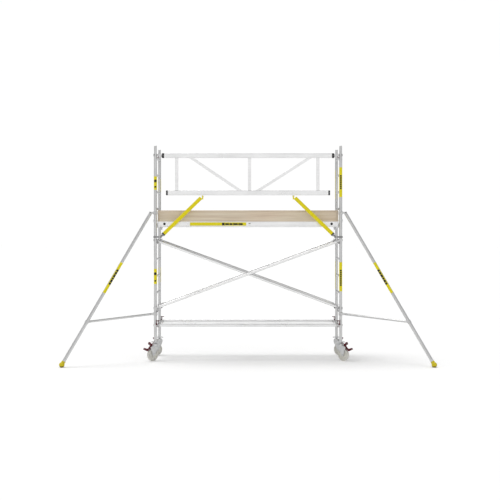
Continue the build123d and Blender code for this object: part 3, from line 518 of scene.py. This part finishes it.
def label_rectangle(half_angle, low, high, across):
    """Grid of a rectangular label, centred on angle 0."""
    angles = [-half_angle + 2 * half_angle * i / across for i in range(across + 1)]
    return [[(angle, height) for angle in angles] for height in (low, high)]


def label_disc(radius, tube_r, height, rows=10, across=12):
    """Grid of a round label, centred on angle 0 at a height."""
    grid = []
    for j in range(rows + 1):
        rise = -math.cos(math.pi * j / rows) * radius * 0.999
        half = max(math.sqrt(radius * radius - rise * rise), radius * 0.03) / tube_r
        grid.append([(-half + 2 * half * i / across, height + rise) for i in range(across + 1)])
    return grid


# ---------------------------------------------------------------- end frames
def rung_weld(mesh, x, y, inward, z):
    """Fillet weld where a rung meets an upright; inward is +1 or -1 along Y."""
    steps = 72
    points = []
    radii = []
    for i in range(steps):
        angle = TAU * i / steps
        reach = RUNG_R + 0.6 * MM
        px = reach * math.cos(angle)
        py = math.sqrt(TUBE_R ** 2 - (RUNG_R * math.cos(angle)) ** 2) + 0.4 * MM
        points.append(Vector((x + px, y + inward * py, z + reach * math.sin(angle))))
        radii.append(ripple(i, 2.3 * MM, 0.8 * MM, 3))
    sweep(mesh, points, radii, 8)


def rung_grip(mesh, x, z):
    """Ribbed tread round a rung, clear of the platform hooks and the welds."""
    ribs = 20
    place = frame_along((0, 1, 0), (x, Y_MID, z))
    half = (Y_REAR - Y_FRONT) / 2 - TUBE_R - 42.0 * MM

    def radius(angle):
        return RUNG_R + (0.75 * MM if math.cos(ribs * angle) > 0 else 0.1 * MM)

    rings = [add_ring(mesh, place, radius, height, ribs * 6) for height in (-half, half)]
    join_rings(mesh, rings[0], rings[1])
    mesh.faces.new(rings[0])
    mesh.faces.new(rings[-1])


def end_frame_details():
    """Welds and treads of the rungs, and rivets over the spigots."""
    for end, sign in ENDS.items():
        x = sign * UPRIGHT_X
        for lift, levels in (("lower", LOWER_RUNGS), ("upper", UPPER_RUNGS)):
            welds = bmesh.new()
            grips = bmesh.new()
            for z in levels:
                rung_weld(welds, x, Y_FRONT, 1, z)
                rung_weld(welds, x, Y_REAR, -1, z)
                if abs(z - PLATFORM_RUNG_Z) > RUNG_R:
                    rung_grip(grips, x, z)
            piece(f"welds_{lift}_{end}", welds, "tower", "cast")
            piece(f"rung_grips_{lift}_{end}", grips, "tower", "tube_y")
        rivets = bmesh.new()
        for y in UPRIGHT_Y.values():
            for tube_top in (SPLICE_Z, TOP_Z):
                for drop in (45.0 * MM, 95.0 * MM):
                    at = (x + sign * TUBE_R, y, tube_top - drop)
                    rivet(rivets, at, (sign, 0, 0), 4.0 * MM, 2.2 * MM)
        piece(f"spigot_rivets_{end}", rivets, "tower", "zinc")


LABEL_THICK = 0.35 * MM
PRINT_THICK = 0.15 * MM


def upright_labels():
    """Yellow bands with plain black blocks on the front and rear uprights."""
    disc_r = 25.0 * MM
    block_height, block_pitch, least_room = 0.026, 0.034, 0.020
    band_turn, block_turn = 2.2, 0.62
    # Each label: its low and high ends, its discs, and the stretches that hold blocks.
    plans = {
        "left": ((1.26, 1.51, (1.43,), ((1.30, 1.35),)), (2.81, 3.03, (2.955,), ((2.845, 2.885),))),
        "right": ((1.14, 1.62, (), ((1.23, 1.50),)), (2.69, 3.18, (), ((2.82, 3.05),))),
    }
    for end, sign in ENDS.items():
        for number, (low, high, discs, blocks) in enumerate(plans[end]):
            for side, facing in (("front", -1), ("rear", 1)):
                place = frame_along((0, 0, 1), (sign * UPRIGHT_X, UPRIGHT_Y[side], 0), (0, facing, 0))
                band = bmesh.new()
                curved_label(band, place, TUBE_R, label_rectangle(band_turn, low, high, 28), LABEL_THICK)
                piece(f"label_{side}_{end}_{number}", band, "tower", "label")
                marks = bmesh.new()
                grids = [label_disc(disc_r, TUBE_R, z) for z in discs]
                for start, stop in blocks:
                    while start < stop - least_room:
                        grids.append(label_rectangle(block_turn, start, start + block_height, 10))
                        start += block_pitch
                for grid in grids:
                    curved_label(marks, place, TUBE_R + LABEL_THICK, grid, PRINT_THICK)
                piece(f"label_print_{side}_{end}_{number}", marks, "tower", "print")


# ---------------------------------------------------------------- castors and adjustable legs
def castor_place(tag):
    """Frame on the swivel axis with X along the trail of the castor and Z up."""
    swivel = Vector(joints[f"castor_swivel_{tag}"]["pos_m"])
    wheel = Vector(joints[f"wheel_spin_{tag}"]["pos_m"])
    trail = Vector((wheel.x - swivel.x, wheel.y - swivel.y, 0))
    return frame_along((0, 0, 1), (swivel.x, swivel.y, 0), trail), trail.length


def spindle_piece(tag, place):
    """The adjusting spindle with its real thread, in place of the plain one."""
    low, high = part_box(f"spindle_{tag}")
    pin_low, pin_r = low.z, 9.0 * MM
    head_low = low.z + 30.6 * MM
    head_r, head_high = 44.0 * MM, head_low + 16.0 * MM
    edge_r, edge_steps = 7.0 * MM, 6
    stem_r, pitch = 18.0 * MM, 8.0 * MM
    mesh = bmesh.new()
    head = [(head_r, head_low), (head_r, head_high - edge_r)]
    for i in range(1, edge_steps + 1):
        angle = math.pi / 2 * i / edge_steps
        drop = edge_r * (1 - math.sin(angle))
        head.append((head_r - edge_r * (1 - math.cos(angle)), head_high - drop))
    head.append((stem_r + 3.0 * MM, head_high + 1.5 * MM))
    head.append((stem_r - 1.0 * MM, head_high + 4.0 * MM))
    lathe(mesh, place, head, 48)
    pin = [(pin_r - 1.0 * MM, pin_low), (pin_r, pin_low + 1.0 * MM), (pin_r, head_low + 1.0 * MM)]
    lathe(mesh, place, pin, 24)
    thread_low = head_high + 1.0 * MM
    screw_thread(mesh, place, stem_r - 0.1 * MM, pitch, thread_low, high.z - thread_low, 40, 10, 0.26)
    shape = piece(f"threaded_spindle_{tag}", mesh, f"spindle_{tag}", "zinc")
    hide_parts(f"spindle_{tag}")


def wheel_detail(tag, place, trail):
    """Web ribs and bearing covers on both faces of a wheel."""
    low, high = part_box(f"wheel_{tag}")
    radius = (high.z - low.z) / 2
    centre = place @ Vector((trail, 0, radius))
    axis = (place.to_3x3() @ Vector((0, 1, 0))).normalized()
    upright = frame_along(axis, side=(0, 0, 1))
    ribs = bmesh.new()
    covers = bmesh.new()
    rib_count = 8
    hub_r, rim_r = 26.0 * MM, radius - 19.0 * MM
    web_half, rib_half, cover_half = 12.8 * MM, 17.5 * MM, 22.2 * MM
    rib_sizes = (rim_r - hub_r + 4.0 * MM, 5.0 * MM, rib_half - web_half + 1.5 * MM)
    for side in (1, -1):
        for i in range(rib_count):
            out = Matrix.Rotation(TAU * (i + 0.5) / rib_count, 4, axis) @ upright
            middle = centre + axis * side * (web_half + rib_half) / 2
            middle += out @ Vector(((hub_r + rim_r) / 2, 0, 0))
            slab(ribs, Matrix.Translation(middle) @ out, rib_sizes, 1.0 * MM)
        ring_body(covers, frame_along(axis * side, centre + axis * side * cover_half), [
            (12.0 * MM, 0.0), (12.0 * MM, 1.0 * MM), (16.0 * MM, 1.4 * MM),
            (20.0 * MM, 1.0 * MM), (20.5 * MM, 0.0),
        ], 32)
    piece(f"wheel_ribs_{tag}", ribs, f"wheel_{tag}", "nylon")
    piece(f"bearing_covers_{tag}", covers, f"wheel_{tag}", "black")


def fork_detail(tag, place):
    """Rivets on the crown and the cheeks of a fork, and its grease nipple."""
    mesh = bmesh.new()
    crown_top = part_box(f"fork_{tag}")[1].z
    crown_rivets, circle_r = 6, 47.0 * MM
    for i in range(crown_rivets):
        angle = TAU * (i + 0.5) / crown_rivets
        at = Vector((circle_r * math.cos(angle), circle_r * math.sin(angle), crown_top - 3.0 * MM))
        rivet(mesh, place @ at, (0, 0, 1), 2.6 * MM, 1.6 * MM)
    nipple = place @ Vector((-51.0 * MM, 0, crown_top - 9.0 * MM))
    away = place.to_3x3() @ Vector((-1, 0, 0))
    lathe(mesh, frame_along(away, nipple), [
        (4.0 * MM, 0.0), (4.0 * MM, 2.5 * MM), (2.2 * MM, 3.5 * MM), (2.2 * MM, 5.5 * MM),
        (3.0 * MM, 6.5 * MM), (2.6 * MM, 8.0 * MM), (1.0 * MM, 9.0 * MM),
    ], 16)
    cheek_half = 31.0 * MM
    for x, z in ((-28.0 * MM, 236.0 * MM), (84.0 * MM, 238.0 * MM)):
        for side in (1, -1):
            at = place @ Vector((x, side * cheek_half, z))
            rivet(mesh, at, place.to_3x3() @ Vector((0, side, 0)), 4.0 * MM, 2.0 * MM)
    piece(f"fork_rivets_{tag}", mesh, f"castor_{tag}", "zinc")


def pedal_detail(tag, place):
    """Raised ribs across the tread of a brake pedal."""
    start = place.inverted() @ Vector(joints[f"brake_{tag}"]["pos_m"])
    tread_start = start + Vector((58.0 * MM, 0, -44.0 * MM))
    run = Vector((59.0 * MM, 0, 30.0 * MM))
    up = Vector((-run.z, 0, run.x)).normalized()
    lean = Matrix.Rotation(-math.atan2(run.z, run.x), 4, "Y")
    rise = 14.4 * MM
    mesh = bmesh.new()
    for i in range(5):
        centre = tread_start + run * (0.16 + 0.17 * i) + up * rise
        rib = place @ Matrix.Translation(centre) @ lean
        slab(mesh, rib, (5.0 * MM, 56.0 * MM, 3.4 * MM), 0.9 * MM)
    piece(f"pedal_ribs_{tag}", mesh, f"brake_pedal_{tag}", "dark_red")


def castor_details():
    for side in SIDES:
        for end in ENDS:
            tag = f"{side}_{end}"
            place, trail = castor_place(tag)
            spindle_piece(tag, place)
            wheel_detail(tag, place, trail)
            fork_detail(tag, place)
            pedal_detail(tag, place)


# ---------------------------------------------------------------- braces
CLAW_RISE = 37.0 * MM
LOW_CLAW_Z = LOWER_RUNGS[5] + CLAW_RISE
TOP_CLAW_Z = LOWER_RUNGS[1] + CLAW_RISE
LEDGER_Z = LOWER_RUNGS[6] + CLAW_RISE
DIAGONAL_R = 22.5 * MM
DIAGONAL_SHIFT = 24.0 * MM
LEDGER_R = 25.4 * MM


def brace_rivets():
    """Two rivets on the front and back of each brace tube, over the plug of its claw."""
    mesh = bmesh.new()
    rows = (
        (LOW_CLAW_Z, TOP_CLAW_Z, -DIAGONAL_SHIFT, DIAGONAL_R),
        (TOP_CLAW_Z, LOW_CLAW_Z, DIAGONAL_SHIFT, DIAGONAL_R),
        (LEDGER_Z, LEDGER_Z, 0.0, LEDGER_R),
    )
    for side, direction in (("front", 1), ("rear", -1)):
        for z0, z1, shift, radius in rows:
            y = UPRIGHT_Y[side] + direction * shift
            run = Vector((2 * UPRIGHT_X, 0, z1 - z0)).normalized()
            starts = (
                (Vector((-UPRIGHT_X, y, z0)), run),
                (Vector((UPRIGHT_X, y, z1)), -run),
            )
            for corner, inward in starts:
                for reach in (92.0 * MM, 114.0 * MM):
                    for face in (1, -1):
                        at = corner + inward * reach + Vector((0, face * radius, 0))
                        rivet(mesh, at, (0, face, 0), 3.4 * MM, 1.8 * MM)
    piece("brace_rivets", mesh, "tower", "zinc")


# ---------------------------------------------------------------- platform
BEAM_HALF = 0.32
BEAM_SIDES = ((-1, Y_MID - BEAM_HALF), (1, Y_MID + BEAM_HALF))
BEAM_MIDDLE_Z = DECK_TOP - 44.0 * MM


def deck_fixings():
    """Screws along both sides of the deck, and rivets of the hatch's hinge leaves."""
    margin, inset, spots = 0.06, 0.018, 11
    profile = [(4.2 * MM, -0.4 * MM), (4.2 * MM, 0.3 * MM), (3.6 * MM, 0.8 * MM), (0.5 * MM, 1.0 * MM)]
    screws = bmesh.new()
    for i in range(spots):
        x = -deck_high.x + margin + (2 * deck_high.x - 2 * margin) * i / (spots - 1)
        for y in (deck_low.y + inset, deck_high.y - inset):
            lathe(screws, frame_along((0, 0, 1), (x, y, DECK_TOP)), profile, 16)
    piece("deck_screws", screws, "tower", "zinc")

    hatch_low, hatch_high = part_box("platform_hatch")
    hinge_inset, leaf_half, leaf_thick = 0.106, 0.018, 3.0 * MM
    rivets = bmesh.new()
    for hinge_x in (hatch_low.x + hinge_inset, hatch_high.x - hinge_inset):
        for dx in (-leaf_half, leaf_half):
            for y in (hatch_high.y - 0.052, hatch_high.y - 0.036):
                rivet(rivets, (hinge_x + dx, y, DECK_TOP + leaf_thick), (0, 0, 1), 2.8 * MM, 1.3 * MM)
    piece("hatch_leaf_rivets", rivets, "hatch", "zinc")


def beam_fixings():
    """Rivets at the ends of the platform beams and the two ridges along each."""
    rivets = bmesh.new()
    for sign in (-1, 1):
        for side, y in BEAM_SIDES:
            for inset in (0.018, 0.052):
                for rise in (0.018, -0.018):
                    at = (sign * (deck_high.x - inset), y, BEAM_MIDDLE_Z + rise)
                    rivet(rivets, at, (0, side, 0), 4.0 * MM, 2.2 * MM)
    piece("beam_rivets", rivets, "tower", "zinc")

    ridges = bmesh.new()
    for side, y in BEAM_SIDES:
        for rise in (-22.0 * MM, 30.0 * MM):
            place = Matrix.Translation((0, y, BEAM_MIDDLE_Z + rise))
            slab(ridges, place, (2 * deck_high.x - 0.004, 2.4 * MM, 4.0 * MM), 0.7 * MM)
    piece("beam_ridges", ridges, "tower", "tube_x")


def platform_label():
    """A yellow band on each beam with a row of plain black blocks."""
    far_end, length, height = 0.96, 0.93, 66.0 * MM
    first_block, block_gap = 0.53, 0.009
    blocks = ((0.044, 0.044), (0.062, 0.030), (0.048, 0.030), (0.080, 0.030), (0.072, 0.030))
    label = bmesh.new()
    marks = bmesh.new()
    for side, y in BEAM_SIDES:
        centre = (side * (far_end - length / 2), y + side * 0.1 * MM, BEAM_MIDDLE_Z)
        slab(label, Matrix.Translation(centre), (length, 0.8 * MM, height), 0.15 * MM)
        reach = first_block
        for width, tall in blocks:
            centre = (side * (far_end - reach - width / 2), y + side * 0.5 * MM, BEAM_MIDDLE_Z)
            slab(marks, Matrix.Translation(centre), (width, 0.5 * MM, tall), 0.1 * MM)
            reach += width + block_gap
    piece("platform_label", label, "tower", "label")
    piece("platform_label_print", marks, "tower", "print")


def beam_plugs():
    """Plastic flanges round the holes near the ends of the beams."""
    flanges = bmesh.new()
    profile = [(15.0 * MM, -0.2 * MM), (21.0 * MM, -0.2 * MM), (21.0 * MM, 1.4 * MM), (15.0 * MM, 2.2 * MM)]
    plug_x = deck_high.x - 110.0 * MM
    for side, y in BEAM_SIDES:
        for x in (-plug_x, plug_x):
            ring_body(flanges, frame_along((0, side, 0), (x, y, DECK_TOP - 40.0 * MM)), profile, 36)
    piece("beam_plug_flanges", flanges, "tower", "black")


def load_sticker():
    """A small white sticker on each beam, with a plain black bar."""
    sticker = bmesh.new()
    bar = bmesh.new()
    for side, y in BEAM_SIDES:
        centre = Vector((-side * 0.025, y + side * 0.1 * MM, BEAM_MIDDLE_Z + 4.0 * MM))
        slab(sticker, Matrix.Translation(centre), (0.052, 0.8 * MM, 0.044), 0.15 * MM)
        centre += Vector((0, side * 0.4 * MM, 8.0 * MM))
        slab(bar, Matrix.Translation(centre), (0.030, 0.5 * MM, 0.009), 0.1 * MM)
    piece("load_sticker", sticker, "tower", "white")
    piece("load_sticker_print", bar, "tower", "print")


def platform_details():
    deck_fixings()
    beam_fixings()
    platform_label()
    beam_plugs()
    load_sticker()


def toe_board_details():
    """Rivets of the corner brackets."""
    mesh = bmesh.new()
    low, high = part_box("toe_board_brackets")
    along, margin = 0.022, 0.03
    for sign in (-1, 1):
        for y, side in ((low.y, -1), (high.y, 1)):
            for z in (low.z + margin, (low.z + high.z) / 2, high.z - margin):
                rivet(mesh, (sign * (high.x - along), y, z), (0, side, 0), 3.6 * MM, 2.0 * MM)
                rivet(mesh, (sign * high.x, y - side * 0.035, z), (sign, 0, 0), 3.6 * MM, 2.0 * MM)
    piece("bracket_rivets", mesh, "tower", "zinc")


# ---------------------------------------------------------------- guardrail
GUARD_TOP_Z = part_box("guardrail_frame")[1].z
RAIL_HEIGHT = 75.0 * MM
LOW_RAIL_DROP = 612.0 * MM
GUARD_POSTS_X = (-1.175, 0.024, 1.149)


def post_weld(mesh, x, z):
    """Weld bead round the oblong section of a guardrail post."""
    half_x, half_y, steps = 26.0 * MM, 13.0 * MM, 12
    corners = [(-half_x, -half_y), (half_x, -half_y), (half_x, half_y), (-half_x, half_y)]
    points = []
    for (ax, ay), (bx, by) in zip(corners, corners[1:] + corners[:1]):
        for i in range(steps):
            share = i / steps
            points.append(Vector((x + ax + (bx - ax) * share, Y_FRONT + ay + (by - ay) * share, z)))
    sweep(mesh, points, [ripple(i, 2.0 * MM, 0.7 * MM, 3) for i in range(len(points))], 8)


def guardrail_details():
    """Welds of the posts and rivets at the ends of both rails."""
    welds = bmesh.new()
    for x in GUARD_POSTS_X:
        for drop in (RAIL_HEIGHT, LOW_RAIL_DROP):
            post_weld(welds, x, GUARD_TOP_Z - drop)
    piece("guardrail_welds", welds, "tower", "cast")

    rivets = bmesh.new()
    top_spot = (RAIL_HEIGHT / 2, 1.399, 19.0 * MM)
    low_spot = (LOW_RAIL_DROP + RAIL_HEIGHT / 2, 1.335, 17.0 * MM)
    for sign in (-1, 1):
        for drop, x, half in (top_spot, low_spot):
            for facing in (-1, 1):
                at = (sign * x, Y_FRONT + facing * half, GUARD_TOP_Z - drop)
                rivet(rivets, at, (0, facing, 0), 4.5 * MM, 2.4 * MM)
    piece("guardrail_rivets", rivets, "tower", "zinc")


STRUT_R = 30.0 * MM
ELBOW_X, ELBOW_Z = 1.430, 2.041
HOOK_BOLT_Z = 2.034


def strut_details():
    """Collar, elbow bolt and rivets of both struts."""
    r = STRUT_R
    for end, sign in ENDS.items():
        pivot = Vector(joints[f"strut_swing_{end}"]["pos_m"])
        elbow = Vector((sign * ELBOW_X, pivot.y, ELBOW_Z))
        run = (elbow - pivot).normalized()
        length = (elbow - pivot).length
        body = f"strut_{end}"
        ring = bmesh.new()
        ring_body(ring, frame_along(run, pivot + run * (length - 70.0 * MM)), [
            (r - 0.5 * MM, 0.0), (r + 2.2 * MM, 1.0 * MM), (r + 2.6 * MM, 4.0 * MM),
            (r + 2.6 * MM, 13.0 * MM), (r + 2.0 * MM, 16.0 * MM), (r - 0.5 * MM, 16.4 * MM),
        ], 40)
        piece(f"strut_collar_{end}", ring, body, "black")
        hardware = bmesh.new()
        across = run.cross(Vector((0, 1, 0))).normalized()
        for side in (1, -1):
            at = (elbow.x + sign * 22.0 * MM, pivot.y + side * 12.0 * MM, HOOK_BOLT_Z)
            bolt(hardware, at, (0, side, 0), 12.0 * MM, 5.0 * MM, 4.0 * MM if side > 0 else 0.0)
            rim = pivot + run * (length - 90.0 * MM) + across * side * r
            rivet(hardware, rim, across * side, 4.0 * MM, 2.2 * MM)
        piece(f"strut_bolts_{end}", hardware, body, "zinc")


# ---------------------------------------------------------------- stabilisers
LEG_R = 25.0 * MM
LEG_TOP_Z = 2.430
FOOT_R = 43.0 * MM
FOOT_Z = 40.0 * MM


def leg_line(end, sign):
    """Top of a leg, centre of its foot, direction down the leg and the direction that its label faces."""
    down = Vector(joints[f"stabiliser_extend_{end}"]["axis"])
    foot_low, foot_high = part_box(f"stabiliser_foot_{end}")
    outer_x = foot_low.x if sign < 0 else foot_high.x
    foot = Vector((outer_x - sign * FOOT_R, foot_low.y + FOOT_R, FOOT_Z))
    top = foot - down * ((foot.z - LEG_TOP_Z) / down.z)
    out = Vector((down.x, down.y, 0)).normalized()
    front = Vector((0, 0, 1)).cross(out) * sign
    return top, foot, down, front if front.y < 0 else -front


def leg_label(end, top, down, front, length):
    """A yellow band with plain black blocks on the front and rear of a leg."""
    low, high = -0.54 * length, -0.34 * length
    first_block = low + 0.28 * (high - low)
    blocks = (0.034, 0.046, 0.030, 0.052, 0.040, 0.036)
    block_gap = 0.008
    place = frame_along(-down, top, front)
    label = bmesh.new()
    marks = bmesh.new()
    for turn in (0, math.pi):
        spin = place @ Matrix.Rotation(turn, 4, "Z")
        curved_label(label, spin, LEG_R, label_rectangle(1.25, low, high, 20), LABEL_THICK)
        start = first_block
        for tall in blocks:
            grid = label_rectangle(0.80, start, start + tall, 10)
            curved_label(marks, spin, LEG_R + LABEL_THICK, grid, PRINT_THICK)
            start += tall + block_gap
    piece(f"stabiliser_label_{end}", label, f"stabiliser_{end}", "label")
    piece(f"stabiliser_label_print_{end}", marks, f"stabiliser_{end}", "print")


def leg_fittings(end, top, down, front, length):
    """Bush in the top of a leg, collar at its lower end, rivets and the spring pin."""
    r = LEG_R
    body = f"stabiliser_{end}"
    bush = bmesh.new()
    ring_body(bush, frame_along(-down, top + down * 3.0 * MM), [
        (r - 0.4 * MM, 0.0), (r + 1.2 * MM, 0.6 * MM), (r + 1.2 * MM, 9.0 * MM), (r - 2.0 * MM, 10.5 * MM),
        (4.0 * MM, 10.8 * MM), (4.0 * MM, 9.2 * MM), (r - 0.4 * MM, 9.1 * MM),
    ], 40)
    piece(f"leg_bushes_{end}", bush, body, "black")

    collar = bmesh.new()
    ring_body(collar, frame_along(down, top + down * (length - 96.0 * MM)), [
        (r - 0.4 * MM, 0.0), (r + 2.4 * MM, 1.0 * MM), (r + 2.8 * MM, 30.0 * MM), (r + 1.6 * MM, 33.6 * MM),
        (r - 0.4 * MM, 33.8 * MM),
    ], 40)
    piece(f"leg_end_collar_{end}", collar, body, "cast")

    hardware = bmesh.new()
    for reach in (18.0 * MM, length * 0.64):
        for face in (1, -1):
            at = top + down * reach + front * face * r
            rivet(hardware, at, front * face, 4.2 * MM, 2.4 * MM)
    pin = top + down * (length - 150.0 * MM) + front * (r - 1.0 * MM)
    lathe(hardware, frame_along(front, pin), [
        (5.0 * MM, 0.0), (5.0 * MM, 3.5 * MM), (4.0 * MM, 5.0 * MM), (1.0 * MM, 6.0 * MM),
    ], 20)
    piece(f"leg_rivets_{end}", hardware, body, "zinc")


def foot_tread(end, foot):
    """Ridged skin over the underside of a ball foot, coloured a dark copy of the yellow foot rubber as
    painted shade.
    """
    low_angle, high_angle, ridge_steps = math.radians(-62), math.radians(-22), 8
    profile = []
    for i in range(ridge_steps + 1):
        angle = low_angle + (high_angle - low_angle) * i / ridge_steps
        reach = FOOT_R + (0.8 * MM if i % 2 else -0.1 * MM)
        profile.append((reach * math.cos(angle), reach * math.sin(angle)))
    inner_r = FOOT_R - 1.5 * MM
    for angle in (high_angle, (high_angle + low_angle) / 2, low_angle):
        profile.append((inner_r * math.cos(angle), inner_r * math.sin(angle)))
    tread = bmesh.new()
    ring_body(tread, frame_along((0, 0, 1), foot), profile, 48)
    piece(f"foot_tread_{end}", tread, f"stabiliser_extension_{end}", "painted_shade_rubber")


def stabiliser_details():
    for end, sign in ENDS.items():
        top, foot, down, front = leg_line(end, sign)
        length = (foot - top).length
        leg_label(end, top, down, front, length)
        leg_fittings(end, top, down, front, length)
        foot_tread(end, foot)


# ---------------------------------------------------------------- camera, floor and light
CAMERA_Z = 2.05
CAMERA_DISTANCE = 15.98
FLOOR_HALF = 150.0


def add_camera(scene):
    """A level long-lens camera in front of the tower, with a slight lens shift."""
    data = bpy.data.cameras.new("camera")
    data.sensor_width = 36.0
    data.lens = 69.9
    data.shift_x = 0.0039
    data.shift_y = -0.028
    data.clip_end = 400.0
    camera = bpy.data.objects.new("camera", data)
    camera.location = (0, Y_FRONT - CAMERA_DISTANCE, CAMERA_Z)
    camera.rotation_euler = (math.pi / 2, 0, 0)
    scene.collection.objects.link(camera)
    scene.camera = camera


def add_floor(scene):
    """A plain white floor that reaches far behind the tower."""
    h = FLOOR_HALF
    mesh = bmesh.new()
    mesh.faces.new([mesh.verts.new((x, y, 0)) for x, y in ((-h, -h), (h, -h), (h, h), (-h, h))])
    data = bpy.data.meshes.new("floor")
    mesh.to_mesh(data)
    mesh.free()
    floor = bpy.data.objects.new("floor", data)
    scene.collection.objects.link(floor)
    paint = Shader("floor_paint", (0.96, 0.96, 0.96), 0.9)
    paint.surface.inputs["Specular IOR Level"].default_value = 0.0
    paint.surface.inputs["Emission Color"].default_value = (1, 1, 1, 1)
    paint.surface.inputs["Emission Strength"].default_value = 0.02
    data.materials.append(paint.material)


def add_world(scene):
    """White surroundings: the light fades towards the rear and overhead, the backdrop stays white."""
    backdrop = 1.01
    world = bpy.data.worlds.new("studio")
    scene.world = world
    world.use_nodes = True
    tree = world.node_tree
    background = tree.nodes["Background"]
    background.inputs["Color"].default_value = (1, 1, 1, 1)
    direction = tree.nodes.new("ShaderNodeTexCoord")
    parts = tree.nodes.new("ShaderNodeSeparateXYZ")
    tree.links.new(direction.outputs["Generated"], parts.inputs[0])
    glow = tree.nodes.new("ShaderNodeMath")
    glow.operation = "MULTIPLY"
    fades = (("Y", -1.0, 0.96, 0.55), ("Z", 0.0, 1.0, 0.7))
    for factor, (letter, start, at_start, at_one) in zip(glow.inputs, fades):
        fade = tree.nodes.new("ShaderNodeMapRange")
        fade.inputs["From Min"].default_value = start
        fade.inputs["From Max"].default_value = 1.0
        fade.inputs["To Min"].default_value = at_start
        fade.inputs["To Max"].default_value = at_one
        tree.links.new(parts.outputs[letter], fade.inputs["Value"])
        tree.links.new(fade.outputs["Result"], factor)
    path = tree.nodes.new("ShaderNodeLightPath")
    seen = tree.nodes.new("ShaderNodeMix")
    seen.inputs[3].default_value = backdrop
    tree.links.new(path.outputs["Is Camera Ray"], seen.inputs[0])
    tree.links.new(glow.outputs[0], seen.inputs[2])
    tree.links.new(seen.outputs[0], background.inputs["Strength"])


def add_sun(scene):
    """A soft sun nearly overhead."""
    data = bpy.data.lights.new("key", "SUN")
    data.energy = 1.5
    data.angle = math.radians(40)
    sun = bpy.data.objects.new("key", data)
    sun.rotation_euler = frame_along((-0.30, 0.12, 0.94)).to_euler()
    scene.collection.objects.link(sun)


def studio():
    scene = bpy.context.scene
    add_camera(scene)
    add_floor(scene)
    add_world(scene)
    add_sun(scene)
    scene.view_settings.view_transform = "Standard"


finish_nodes()
end_frame_details()
upright_labels()
castor_details()
brace_rivets()
platform_details()
toe_board_details()
guardrail_details()
strut_details()
stabiliser_details()
studio()
